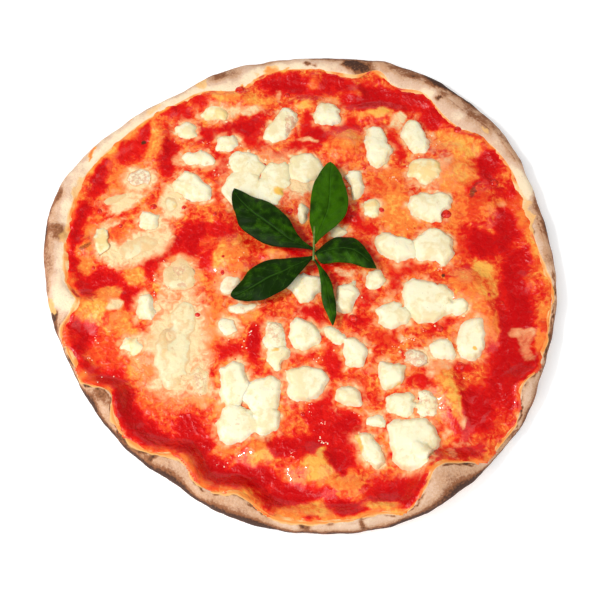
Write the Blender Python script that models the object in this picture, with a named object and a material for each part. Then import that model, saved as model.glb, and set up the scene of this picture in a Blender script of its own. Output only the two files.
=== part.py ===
"""Margherita pizza, 32 cm across, lying on z = 0 with its middle at x = y = 0.

The crust is one baked disc of dough: a thin, bubbled floor inside a raised rim, which is folded in
over itself along the front. A skin of tomato sauce follows the floor, melted pieces of mozzarella
sit on the sauce, and a sprig of basil lies on top.

Lengths are millimetres up to the last step, which writes a mesh's vertices in metres. A bearing is
an angle in degrees, counter-clockwise from +X, so the front of the pizza, at -Y, has bearing 270.
"""

import math
from collections import namedtuple
from functools import lru_cache

import bmesh
import bpy
from mathutils import Vector

MM = 0.001
GAP = 0.3  # between pieces that touch
SEAT_GAP = 0.5  # under a topping, whose underside is a little coarser than the sauce

# Places are given from the middle of the rim's mean circle, which the uneven rim leaves off its own middle.
MIDDLE = Vector((1.43, -1.38, 0.0))

# The rim, as a mean size and waves round it: each is centred on a bearing, with a spread in degrees.
Wave = namedtuple("Wave", "bearing spread rise")

SIDES = 84
EDGE_RADIUS = 160.0
EDGE_WAVES = (
    Wave(0, 12, 1.5), Wave(38, 12, 10), Wave(63, 12, 11.5), Wave(84, 9, 2.5), Wave(106, 7, 3),
    Wave(123, 5, -3.5), Wave(160, 12, 10), Wave(180, 9, 1), Wave(204, 8, -1), Wave(220, 22, -8),
    Wave(241, 7, -3), Wave(292, 13, 5.5), Wave(312, 9, 3), Wave(325, 5, 2.5),
)
SAUCE_RADIUS = 152.0
SAUCE_WAVES = (
    Wave(12, 6, -2), Wave(32, 9, 5), Wave(45, 4, -4), Wave(58, 3, 5), Wave(70, 2.6, 8),
    Wave(108, 4.5, -9.5), Wave(124, 6, -3), Wave(156, 8, 4), Wave(182, 5, -5), Wave(190, 3, -12),
    Wave(216, 3.6, -12), Wave(228, 8, -5), Wave(241, 4.6, -13), Wave(256, 4.2, -9),
    Wave(286, 2.2, -3), Wave(292, 4, 3), Wave(300, 26, 7), Wave(302, 4.6, -12), Wave(316, 5, 7),
    Wave(330, 2.8, -5), Wave(339, 6, 4), Wave(354, 3.5, 5),
)
CREST_HEIGHT = 11.0
CREST_WAVES = (
    Wave(45, 25, 1), Wave(95, 20, -1), Wave(190, 4, 2), Wave(205, 8, -2), Wave(216, 4.5, 5),
    Wave(241, 5, 6), Wave(256, 5, 7), Wave(275, 8, 2), Wave(301, 6, 8), Wave(317, 6, -3),
    Wave(331, 4, 4),
)
THINNEST_RIM = 3.5  # from the sauce's border to the outer edge
CREST_SETBACK = 1.0  # from the sauce's border out to the crest, where the rim is folded in
PUFFED_SETBACK = 0.45  # the same where the rim is puffed, as a share of the rim's width
EDGE_LEVEL = 0.4  # height of the widest line, as a share of the crest's height
UNDERCUT = 5.0  # from the widest line in to the flat underside

FLAT_ANGLE = 6.0  # faces of a topping that differ by less are merged

# The floor of the dough.
FLOOR_HEIGHT = 4.0
FLOOR_SWELL = 0.45
SLOPE_WIDTH = 14.0  # from the flat floor out to the sauce's border
SAUCE_THICKNESS = 1.2
SEAT_DEPTH = 20.0  # of the slab that cuts the undersides of the toppings

# Rings of the crust from the middle of the floor out over the rim and under it, as shares of the
# way across the floor, up the slope, over the crown, down the outside and under the edge.
FLOOR_RINGS = (0.30, 0.54, 0.75, 0.90, 1.0)
SLOPE_RINGS = (0.36, 0.70, 1.0)
CROWN_RINGS = (1.0,)
OUTER_RINGS = (1 / 3, 2 / 3, 1.0)
UNDER_RINGS = (0.5, 1.0)

# Bubbles in the floor: long and wide axes, turn of the long axis from +X, and rise.
Bubble = namedtuple("Bubble", "x y long wide turn rise")
BUBBLES = (
    Bubble(106, -14, 30, 28, 0, 6.0), Bubble(116, -36, 34, 16, 80, 3.5),
    Bubble(122, 50, 38, 26, 70, 5.0), Bubble(100, 74, 40, 36, 0, 4.0),
    Bubble(112, 92, 26, 20, 40, 3.5), Bubble(30, 92, 28, 26, 0, 5.0),
    Bubble(50, 119, 38, 14, 5, 4.0), Bubble(4, 126, 22, 12, 0, 3.0),
    Bubble(10, 142, 14, 14, 0, 3.5), Bubble(38, 134, 16, 14, 0, 3.5),
    Bubble(-44, 10, 30, 28, 0, 4.5), Bubble(-14, 12, 26, 16, 0, 3.0),
    Bubble(90, -82, 42, 18, 105, 4.5), Bubble(8, -124, 24, 24, 60, 6.0),
    Bubble(26, -136, 30, 14, 0, 3.5), Bubble(-25, -114, 20, 18, 0, 3.5),
    Bubble(-96, 90, 36, 14, 75, 4.0), Bubble(-124, -26, 34, 24, 20, 5.0),
    Bubble(-50, 128, 36, 14, 8, 3.5), Bubble(-136, 17, 16, 15, 0, 3.5),
    Bubble(143, -7, 14, 14, 0, 3.0), Bubble(-88, -52, 26, 24, 0, 2.5),
)

# Mozzarella: each piece is one lobe, or several that have melted into each other. A lobe is a low
# cushion, across by along, turned from +X, with one end drawn in by its taper.
Lobe = namedtuple("Lobe", "x y across along turn rise taper", defaults=(0.0,))
MOZZARELLA = (
    (Lobe(19, 117, 20, 20, 0, 5.0, 0.15),),
    (Lobe(-12, 109, 18, 30, -35, 4.6, 0.2),),
    (Lobe(-49, 94, 17, 13, 0, 4.4),),
    (Lobe(-67, 82, 24, 12, -10, 3.4),),
    (Lobe(-58, 118, 20, 12, 0, 2.4),),
    (Lobe(-77, 104, 14, 13, 0, 2.4),),
    (Lobe(-36, 78, 26, 19, -35, 3.8), Lobe(-15, 69, 20, 24, 0, 3.2), Lobe(4, 75, 24, 24, 0, 4.2),
     Lobe(-38, 58, 26, 32, 10, 3.8), Lobe(-21, 57, 24, 20, -20, 3.2)),
    (Lobe(-71, 60, 29, 19, -40, 4.2),),
    (Lobe(-107, 68, 18, 16, 0, 1.8),),
    (Lobe(-121, 52, 20, 9, 30, 2.0),),
    (Lobe(-98, 36, 14, 14, 0, 3.2),),
    (Lobe(-85, 48, 11, 18, 10, 2.0),),
    (Lobe(-128, 22, 9, 20, 10, 2.2),),
    (Lobe(-104, 17, 34, 17, 20, 1.8),),
    (Lobe(-76, -3, 24, 26, 0, 2.6),),
    (Lobe(-96, -26, 13, 18, 0, 3.8),),
    (Lobe(-72, -32, 20, 24, 0, 2.8), Lobe(-77, -56, 26, 48, 0, 2.4), Lobe(-60, -72, 14, 26, 15, 2.0)),
    (Lobe(-103, -50, 15, 11, 0, 2.8),),
    (Lobe(-44, -10, 15, 13, 0, 2.4),),
    (Lobe(-36, -25, 20, 7, 0, 2.2),),
    (Lobe(-45, -38, 13, 12, 0, 2.4),),
    (Lobe(3.5, -11.5, 22, 20, 0, 4.2, -0.3),),
    (Lobe(29, -18, 14, 26, -25, 4.6, 0.25),),
    (Lobe(48, -6, 14, 13, 0, 3.8),),
    (Lobe(24, 28, 10, 10, 0, 2.6),),
    (Lobe(2, 41, 8, 13, 0, 3.0),),
    (Lobe(36, 63, 13, 23, 5, 4.2),),
    (Lobe(47, 44, 12, 14, 0, 2.6),),
    (Lobe(52, 91, 17, 37, 8, 5.0),),
    (Lobe(78, 99, 16, 28, 12, 5.0),),
    (Lobe(83, 72, 23, 20, 0, 3.6),),
    (Lobe(85, 46, 31, 23, 0, 5.0),),
    (Lobe(61, 17, 30, 19, -28, 5.0), Lobe(86, 17, 28, 26, -5, 5.0)),
    (Lobe(57, -30, 22, 17, 0, 4.4), Lobe(79, -20, 32, 30, 0, 5.4), Lobe(96, -25, 18, 10, 0, 3.4)),
    (Lobe(105, -46, 17, 27, -8, 5.0),),
    (Lobe(87, -52, 17, 12, -20, 4.4),),
    (Lobe(70, -57, 15, 12, 0, 3.0),),
    (Lobe(54, -68, 19, 19, 0, 4.8),),
    (Lobe(60, -87, 19, 15, 0, 4.0), Lobe(75, -86, 14, 17, 0, 3.2)),
    (Lobe(45, -97, 12, 7, 0, 2.6),),
    (Lobe(41, -114, 13, 25, 28, 4.8),),
    (Lobe(66, -111, 31, 33, 0, 5.6, -0.3),),
    (Lobe(2, -42, 18, 22, 25, 4.8),),
    (Lobe(-15, -44, 14, 19, 0, 3.0), Lobe(-14, -58, 15, 17, 0, 4.2)),
    (Lobe(22, -43, 16, 8, -35, 3.4), Lobe(33, -54, 15, 21, 15, 4.6)),
    (Lobe(4, -74, 26, 23, 0, 4.8),),
    (Lobe(29, -82, 16, 14, 0, 4.6),),
    (Lobe(-40, -75, 19, 30, 0, 5.2), Lobe(-22, -81, 22, 26, 0, 4.8), Lobe(-21, -96, 18, 22, 0, 4.2),
     Lobe(-38, -99, 24, 24, 0, 5.0)),
)
LARGE_LOBE = 420.0  # across times along, from which a lobe gets more sides
CUSHION = 0.7  # below 1 a lobe's top is flatter and its side steeper
SQUARENESS = 2.5  # exponent of a lobe's outline: 2 is an ellipse

# Basil: five leaves on one short stem. A leaf runs from its foot to its tip.
Leaf = namedtuple("Leaf", "foot tip width widest arch bend")
STEM_FOOT = Vector((9.0, 3.0, 12.2))
STEM_TOP = Vector((9.5, 18.0, 14.2))
STEM_RADIUS = 1.3
LEAVES = (
    Leaf(Vector((9.3, 11, 12.9)), Vector((-43, 56, 11.4)), 27, 0.52, 3.0, 8.0),
    Leaf(Vector((9.4, 15, 13.4)), Vector((20, 76, 11.4)), 25, 0.42, 2.5, -5.0),
    Leaf(Vector((9.1, 7, 12.3)), Vector((-43, -19, 9.6)), 24, 0.58, 2.5, 1.0),
    Leaf(Vector((9.2, 9, 12.6)), Vector((48, -1, 11.0)), 18, 0.42, 2.5, 7.0),
    Leaf(Vector((9.1, 5, 12.1)), Vector((20, -39, 10.4)), 8.5, 0.60, 1.0, 2.0),
)
LEAF_STEPS = 8
LEAF_RIBS = 4
LEAF_THICKNESS = 0.8
LEAF_DROOP = 2.4  # how far a leaf's margin hangs below its midrib
STALK_WIDTH = 1.6

# Colours are linear RGB.
CRUST_COLOUR = (0.72, 0.48, 0.27, 1.0)
SAUCE_COLOUR = (0.62, 0.035, 0.012, 1.0)
CHEESE_COLOUR = (0.90, 0.84, 0.62, 1.0)
BASIL_COLOUR = (0.015, 0.085, 0.008, 1.0)


def clear_scene():
    """Removes what an opened file holds already."""
    for old in list(bpy.data.objects):
        bpy.data.objects.remove(old)


def new_collection(name):
    """A collection in the scene."""
    collection = bpy.data.collections.new(name)
    bpy.context.scene.collection.children.link(collection)
    return collection


def new_material(name, colour, roughness, metallic=0.0):
    """A plain Principled material."""
    material = bpy.data.materials.new(name)
    material.use_nodes = True
    shader = material.node_tree.nodes["Principled BSDF"]
    shader.inputs["Base Color"].default_value = colour
    shader.inputs["Roughness"].default_value = roughness
    shader.inputs["Metallic"].default_value = metallic
    material.diffuse_color = colour
    return material


def new_object(name, bm, collection, material=None):
    """An object from a bmesh in millimetres, written in metres."""
    bmesh.ops.triangulate(bm, faces=bm.faces[:])
    bmesh.ops.recalc_face_normals(bm, faces=bm.faces[:])
    bmesh.ops.translate(bm, vec=MIDDLE, verts=bm.verts[:])
    bmesh.ops.scale(bm, vec=Vector((MM, MM, MM)), verts=bm.verts[:])
    mesh = bpy.data.meshes.new(name)
    bm.to_mesh(mesh)
    bm.free()
    mesh.shade_smooth()
    thing = bpy.data.objects.new(name, mesh)
    if material is not None:
        mesh.materials.append(material)
    collection.objects.link(thing)
    return thing


def new_tool(name, bm, collection):
    """An object that only cuts or joins others."""
    tool = new_object(name, bm, collection)
    tool.hide_render = True
    tool.display_type = "WIRE"
    return tool


def combine(thing, tool, operation):
    """Joins tool to thing, or cuts it away."""
    modifier = thing.modifiers.new(tool.name, "BOOLEAN")
    modifier.operation = operation
    modifier.solver = "EXACT"
    modifier.object = tool


def merge_flats(thing):
    """Merges faces that lie almost in one plane, which leaves the shape as it is with fewer faces."""
    modifier = thing.modifiers.new("merge_flats", "DECIMATE")
    modifier.decimate_type = "DISSOLVE"
    modifier.angle_limit = math.radians(FLAT_ANGLE)


def ease(share):
    """0 to 1 with a soft start and end."""
    share = max(0.0, min(1.0, share))
    return share * share * (3.0 - 2.0 * share)


def round_the_rim(mean, waves, bearing):
    """A size at a bearing: its mean and the waves that reach there."""
    size = mean
    for wave in waves:
        turn = (bearing - wave.bearing + 180.0) % 360.0 - 180.0
        size += wave.rise * math.exp(-0.5 * (turn / wave.spread) ** 2)
    return size


# Radii and height of the crust's section at one bearing.
Section = namedtuple("Section", "floor sauce crest edge height")


@lru_cache(maxsize=4096)
def section(bearing):
    """The crust's section at a bearing. The back of the rim is puffed up, the front folded in."""
    edge = round_the_rim(EDGE_RADIUS, EDGE_WAVES, bearing)
    sauce = min(round_the_rim(SAUCE_RADIUS, SAUCE_WAVES, bearing), edge - THINNEST_RIM)
    puffed = ease((math.sin(math.radians(bearing)) + 0.5) / 0.7)
    crest = sauce + CREST_SETBACK + puffed * PUFFED_SETBACK * (edge - sauce - CREST_SETBACK)
    height = round_the_rim(CREST_HEIGHT, CREST_WAVES, bearing)
    return Section(sauce - SLOPE_WIDTH, sauce, crest, edge, height)


def bubble_rise(bubble, x, y):
    """How far a bubble lifts the dough at a place."""
    turn = math.radians(bubble.turn)
    dx, dy = x - bubble.x, y - bubble.y
    along = (dx * math.cos(turn) + dy * math.sin(turn)) / (bubble.long / 2)
    across = (dy * math.cos(turn) - dx * math.sin(turn)) / (bubble.wide / 2)
    inside = max(0.0, 1.0 - 0.5 * (along * along + across * across))
    return bubble.rise * inside * inside


def dough_height(x, y):
    """Height of the dough's top anywhere inside the crest."""
    here = section(round(math.degrees(math.atan2(y, x)), 3))
    climb = ease((math.hypot(x, y) - here.floor) / (here.crest - here.floor))
    swell = FLOOR_SWELL * (math.sin(x / 17.0 + 1.0) * math.cos(y / 21.0) + math.sin((x - y) / 9.0) / 2)
    lift = sum(bubble_rise(bubble, x, y) for bubble in BUBBLES)
    return FLOOR_HEIGHT + swell + lift * (1.0 - 0.6 * climb) + (here.height - FLOOR_HEIGHT) * climb


def seat_height(x, y):
    """Height at which a topping rests on the sauce."""
    return dough_height(x, y) + GAP + SAUCE_THICKNESS + SEAT_GAP


def rim_point(ring, bearing):
    """Radius and height of a ring of the crust at a bearing. Height is None on the floor and slope."""
    here = section(bearing)
    steps = (
        [("floor", share) for share in FLOOR_RINGS]
        + [("slope", share) for share in SLOPE_RINGS]
        + [("crown", share) for share in CROWN_RINGS]
        + [("outer", share) for share in OUTER_RINGS]
        + [("under", share) for share in UNDER_RINGS]
    )
    zone, share = steps[ring - 1]
    quarter = math.radians(90.0 * share)
    level = EDGE_LEVEL * here.height
    if zone == "floor":
        return here.floor * share, None
    if zone == "slope":
        return here.floor + (here.sauce - here.floor) * share, None
    if zone == "crown":
        return here.sauce + (here.crest - here.sauce) * share, None
    if zone == "outer":
        radius = here.crest + (here.edge - here.crest) * math.sin(quarter)
        return radius, level + (here.height - level) * math.cos(quarter)
    return here.edge - UNDERCUT * (1.0 - math.cos(quarter)), level * (1.0 - math.sin(quarter))


def crust_mesh():
    """The dough: a globe whose rings of latitude become the rings of the crust."""
    rings = len(FLOOR_RINGS + SLOPE_RINGS + CROWN_RINGS + OUTER_RINGS + UNDER_RINGS)
    bm = bmesh.new()
    bmesh.ops.create_uvsphere(bm, u_segments=SIDES, v_segments=rings + 1, radius=1.0)
    mark = bm.verts.layers.int.new("ring")
    for vert in bm.verts:
        ring = round(math.acos(max(-1.0, min(1.0, vert.co.z))) / math.pi * (rings + 1))
        vert[mark] = ring
        if ring == 0:
            vert.co = Vector((0.0, 0.0, dough_height(0.0, 0.0)))
        elif ring == rings + 1:
            vert.co = Vector((0.0, 0.0, 0.0))
        else:
            bearing = math.degrees(math.atan2(vert.co.y, vert.co.x))
            radius, height = rim_point(ring, round(bearing, 3))
            x, y = radius * math.cos(math.radians(bearing)), radius * math.sin(math.radians(bearing))
            vert.co = Vector((x, y, dough_height(x, y) if height is None else height))
    bmesh.ops.triangulate(bm, faces=bm.faces[:])
    return bm


def thicken(bm, rise):
    """Closes an open sheet into a slab that reaches rise above it, or below it."""
    grown = bmesh.ops.extrude_face_region(bm, geom=bm.faces[:])["geom"]
    moved = [part for part in grown if isinstance(part, bmesh.types.BMVert)]
    bmesh.ops.translate(bm, vec=Vector((0.0, 0.0, rise)), verts=moved)


def floor_slab(lift, thickness):
    """A slab over the dough's floor and slope, lift above them."""
    bm = crust_mesh()
    mark = bm.verts.layers.int["ring"]
    last = len(FLOOR_RINGS + SLOPE_RINGS)
    beyond = [vert for vert in bm.verts if vert[mark] > last]
    bmesh.ops.delete(bm, geom=beyond, context="VERTS")
    bmesh.ops.translate(bm, vec=Vector((0.0, 0.0, lift)), verts=bm.verts[:])
    thicken(bm, thickness)
    return bm


def lobe_outline(lobe, angle):
    """Reach of a lobe's outline, about 1, at an angle from its own +X: squarish and uneven."""
    squarish = (abs(math.cos(angle)) ** SQUARENESS + abs(math.sin(angle)) ** SQUARENESS) ** (-1 / SQUARENESS)
    phase = lobe.x * 0.7 + lobe.y * 0.3
    uneven = 0.07 * math.cos(3 * angle + phase) + 0.045 * math.cos(5 * angle + 2 * phase)
    return squarish * 0.96 + uneven


def lobe_mesh(lobe):
    """One cushion of mozzarella, with its underside sunk into the sauce."""
    large = lobe.across * lobe.along > LARGE_LOBE
    bm = bmesh.new()
    bmesh.ops.create_uvsphere(bm, u_segments=14 if large else 11, v_segments=4, radius=1.0)
    turn = math.radians(lobe.turn)
    for vert in bm.verts:
        angle = math.atan2(vert.co.y, vert.co.x)
        reach = math.hypot(vert.co.x, vert.co.y) ** CUSHION * lobe_outline(lobe, angle)
        side = lobe.across / 2 * reach * math.cos(angle) * (1.0 - lobe.taper * reach * math.sin(angle))
        ahead = lobe.along / 2 * reach * math.sin(angle)
        x = lobe.x + side * math.cos(turn) - ahead * math.sin(turn)
        y = lobe.y + side * math.sin(turn) + ahead * math.cos(turn)
        vert.co = Vector((x, y, seat_height(x, y) + lobe.rise * vert.co.z))
    return bm


def leaf_width(leaf, share):
    """Half the width of a leaf, at a share of the way from its foot to its tip."""
    full = leaf.width / 2
    if share < leaf.widest:
        return STALK_WIDTH / 2 + (full - STALK_WIDTH / 2) * ease(share / leaf.widest) ** 0.9
    left = (1.0 - share) / (1.0 - leaf.widest)
    return full * math.sin(math.pi / 2 * left) ** 0.85 if left > 0.0 else 0.0


def leaf_mesh(leaf):
    """A leaf: a grid bent along its midrib, with drooping margins and some thickness."""
    bm = bmesh.new()
    bmesh.ops.create_grid(bm, x_segments=LEAF_STEPS, y_segments=LEAF_RIBS, size=1.0)
    line = leaf.tip - leaf.foot
    aside = Vector((-line.y, line.x, 0.0)).normalized()
    for vert in bm.verts:
        share, across = (vert.co.x + 1.0) / 2, vert.co.y
        bow = math.sin(math.pi * share)
        place = leaf.foot + line * share + aside * (leaf.bend * bow + across * leaf_width(leaf, share))
        droop = LEAF_DROOP * across * across * min(1.0, leaf_width(leaf, share) / 9.0)
        vert.co = place + Vector((0.0, 0.0, leaf.arch * bow - droop))
    bmesh.ops.remove_doubles(bm, verts=bm.verts[:], dist=0.01)
    thicken(bm, LEAF_THICKNESS)
    return bm


def stem_mesh():
    """The short stem that the leaves grow from."""
    line = STEM_TOP - STEM_FOOT
    bm = bmesh.new()
    bmesh.ops.create_cone(
        bm, cap_ends=True, segments=8, radius1=STEM_RADIUS, radius2=STEM_RADIUS * 0.7, depth=line.length
    )
    turn = line.to_track_quat("Z", "Y").to_matrix()
    bmesh.ops.rotate(bm, cent=Vector((0.0, 0.0, 0.0)), matrix=turn, verts=bm.verts[:])
    bmesh.ops.translate(bm, vec=(STEM_FOOT + STEM_TOP) / 2, verts=bm.verts[:])
    return bm


def build_mozzarella(parts, tools, material, seat):
    """Every piece of mozzarella: its lobes joined, and cut to lie on the sauce."""
    for number, lobes in enumerate(MOZZARELLA, start=1):
        name = f"mozzarella_{number:02d}"
        piece = new_object(name, lobe_mesh(lobes[0]), parts, material)
        for extra, lobe in enumerate(lobes[1:], start=2):
            combine(piece, new_tool(f"{name}_lobe_{extra}", lobe_mesh(lobe), tools), "UNION")
        combine(piece, seat, "DIFFERENCE")
        merge_flats(piece)


def build_basil(parts, tools, material):
    """The sprig of basil, as one piece."""
    sprig = new_object("basil_sprig", stem_mesh(), parts, material)
    for number, leaf in enumerate(LEAVES, start=1):
        combine(sprig, new_tool(f"basil_leaf_{number}", leaf_mesh(leaf), tools), "UNION")
    merge_flats(sprig)


def main():
    """Builds the pizza from the table up."""
    clear_scene()
    parts = new_collection("margherita_pizza")
    tools = new_collection("cutters")
    new_object("crust", crust_mesh(), parts, new_material("baked_dough", CRUST_COLOUR, 0.75))
    sauce = floor_slab(GAP, SAUCE_THICKNESS)
    new_object("tomato_sauce", sauce, parts, new_material("tomato", SAUCE_COLOUR, 0.35))
    seat = new_tool("topping_seat", floor_slab(GAP + SAUCE_THICKNESS + SEAT_GAP, -SEAT_DEPTH), tools)
    build_mozzarella(parts, tools, new_material("cheese", CHEESE_COLOUR, 0.4), seat)
    build_basil(parts, tools, new_material("basil", BASIL_COLOUR, 0.5))


main()
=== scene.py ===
"""Looks of a margherita pizza: baked dough, tomato sauce, melted mozzarella and a sprig of basil.

Lengths are millimetres until a mesh is finished, when it is written in metres. Places are given
from the middle of the rim's mean circle. A bearing is an angle in degrees, counter-clockwise from
+X, so the front of the pizza, at -Y, has bearing 270.
"""

import itertools
import logging
import math
import random
from dataclasses import dataclass, field, replace
from enum import Enum
from typing import Any, Sequence, Union

import bmesh
import bpy
import numpy as np
from mathutils import Matrix, Vector
from mathutils.kdtree import KDTree


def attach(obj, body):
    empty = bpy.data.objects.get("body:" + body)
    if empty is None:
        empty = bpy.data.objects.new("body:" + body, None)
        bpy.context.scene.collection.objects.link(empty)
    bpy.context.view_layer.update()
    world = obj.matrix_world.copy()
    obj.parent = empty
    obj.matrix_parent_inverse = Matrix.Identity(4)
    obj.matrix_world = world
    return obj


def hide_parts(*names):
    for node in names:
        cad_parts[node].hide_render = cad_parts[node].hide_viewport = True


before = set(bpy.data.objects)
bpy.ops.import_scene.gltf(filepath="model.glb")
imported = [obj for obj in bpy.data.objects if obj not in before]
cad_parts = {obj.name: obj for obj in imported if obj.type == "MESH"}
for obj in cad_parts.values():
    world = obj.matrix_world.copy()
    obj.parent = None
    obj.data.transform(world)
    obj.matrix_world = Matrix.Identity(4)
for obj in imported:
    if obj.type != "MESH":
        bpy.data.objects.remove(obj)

logging.basicConfig(level=logging.INFO, format="%(message)s")
LOG = logging.getLogger("pizza")

MM = 0.001
BODY = "root"

SEED_SHIFT = 31.7  # in lumps, between the noise of one seed and the next
OCTAVE_SHIFT = 7.3  # and between two layers of one noise
NOISE_GAIN = 1.6  # brings the noise to about -1 to 1

Array = np.ndarray
Colour = tuple[float, float, float, float]


def paint(red: float, green: float, blue: float) -> Colour:
    """A linear colour from one given as a screen shows it.

    Args:
        red: 0 to 255.
        green: 0 to 255.
        blue: 0 to 255.

    Returns:
        Linear red, green and blue, and an alpha of 1.
    """
    shares = (value / 255.0 for value in (red, green, blue))
    linear = (share / 12.92 if share <= 0.04045 else ((share + 0.055) / 1.055) ** 2.4 for share in shares)
    return (*linear, 1.0)


# ---------------------------------------------------------------- shapes and fields


def ease(share: Array) -> Array:
    """0 to 1 with a soft start and end."""
    share = np.clip(share, 0.0, 1.0)
    return share * share * (3.0 - 2.0 * share)


def lattice(cell: Array, seed: int) -> Array:
    """A number from 0 to 1 for each cell of a lattice, always the same one."""
    keys = cell.astype(np.uint32)
    mixed = keys[:, 0] * np.uint32(374761393) + keys[:, 1] * np.uint32(668265263)
    mixed = mixed + keys[:, 2] * np.uint32(2246822519) + np.uint32(seed * 3266489917 % 2**32)
    mixed = (mixed ^ (mixed >> np.uint32(13))) * np.uint32(1274126177)
    return ((mixed ^ (mixed >> np.uint32(16))) & np.uint32(0xFFFF)) / 65535.0


def noise(points: Array, size: float, seed: int = 0, octaves: int = 1) -> Array:
    """Soft noise, about -1 to 1, with lumps of one size.

    Args:
        points: Places, one row each, with two or three columns.
        size: How far one lump is from the next.
        seed: Another seed gives another pattern.
        octaves: Finer layers, each half as large and half as strong.

    Returns:
        One value for each place.
    """
    if points.shape[1] == 2:
        points = np.column_stack((points, np.zeros(len(points))))
    total = np.zeros(len(points))
    for octave in range(octaves):
        spot = points * (2.0**octave / size) + SEED_SHIFT * (seed + 1) + OCTAVE_SHIFT * octave
        cell = np.floor(spot)
        inside = spot - cell
        fade = inside**3 * (inside * (inside * 6.0 - 15.0) + 10.0)
        for corner in itertools.product((0.0, 1.0), repeat=3):
            offset = np.array(corner)
            weight = np.prod(np.where(offset > 0.0, fade, 1.0 - fade), axis=1)
            keys = (cell + offset).astype(np.int64)
            turn = 2.0 * math.pi * lattice(keys, seed * 2 + 1)
            lean = 2.0 * lattice(keys, seed * 2 + 2) - 1.0
            flat = np.sqrt(1.0 - lean * lean)
            away = inside - offset
            slope = away[:, 0] * flat * np.cos(turn) + away[:, 1] * flat * np.sin(turn)
            total += weight * (slope + away[:, 2] * lean) * 0.5**octave
    return total * NOISE_GAIN


@dataclass(frozen=True)
class Blot:
    """A soft-edged oval: its middle, its two widths, the turn of the long one and its level."""

    x: float
    y: float
    long: float
    wide: float
    turn: float
    level: float

    def reach(self, points: Array) -> Array:
        """Distance from the middle, where the oval's outline is 1."""
        turn = math.radians(self.turn)
        dx, dy = points[:, 0] - self.x, points[:, 1] - self.y
        along = (dx * math.cos(turn) + dy * math.sin(turn)) / (self.long / 2.0)
        across = (dy * math.cos(turn) - dx * math.sin(turn)) / (self.wide / 2.0)
        return np.hypot(along, across)


def painted(values: Array, points: Array, blots: Sequence[Blot], softness: float) -> Array:
    """A field with blots painted over it in turn.

    Args:
        values: The field so far, one value for each place.
        points: The places, one row each.
        blots: What is painted, the last one on top.
        softness: Width of a blot's soft edge, as a share of its half width.

    Returns:
        The painted field.
    """
    for blot in blots:
        weight = 1.0 - ease((blot.reach(points) - 1.0 + softness) / (2.0 * softness))
        values = values + (blot.level - values) * weight
    return values


def spotted(points: Array, blots: Sequence[Blot], softness: float) -> Array:
    """A field that is 0 but for the blots painted in it."""
    return painted(np.zeros(len(points)), points, blots, softness)


def wander(points: Array, size: float, far: float, seed: int) -> Array:
    """The same places, each moved a little, so that what is painted there has uneven edges.

    Args:
        points: Places, one row each.
        size: How long the wobbles are.
        far: How far they reach.
        seed: Another seed gives another pattern.

    Returns:
        The moved places, with two columns.
    """
    flat = points[:, :2]
    moved = np.column_stack((noise(flat, size, seed, 2), noise(flat, size, seed + 1, 2)))
    return flat + far * moved


@dataclass(frozen=True)
class Wave:
    """A rise or dip of a size round the rim, centred on a bearing, with its spread in degrees."""

    bearing: float
    spread: float
    rise: float


def around(mean: float, waves: Sequence[Wave], bearing: Array) -> Array:
    """A size round the rim: its mean and its waves.

    Args:
        mean: The size where no wave reaches.
        waves: The rises and dips.
        bearing: Where it is wanted.

    Returns:
        The size at each bearing.
    """
    size = np.full(len(bearing), mean)
    for wave in waves:
        turn = (bearing - wave.bearing + 180.0) % 360.0 - 180.0
        size += wave.rise * np.exp(-0.5 * (turn / wave.spread) ** 2)
    return size


def bearings(points: Array) -> Array:
    """The bearing of each place."""
    return np.degrees(np.arctan2(points[:, 1], points[:, 0]))


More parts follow.
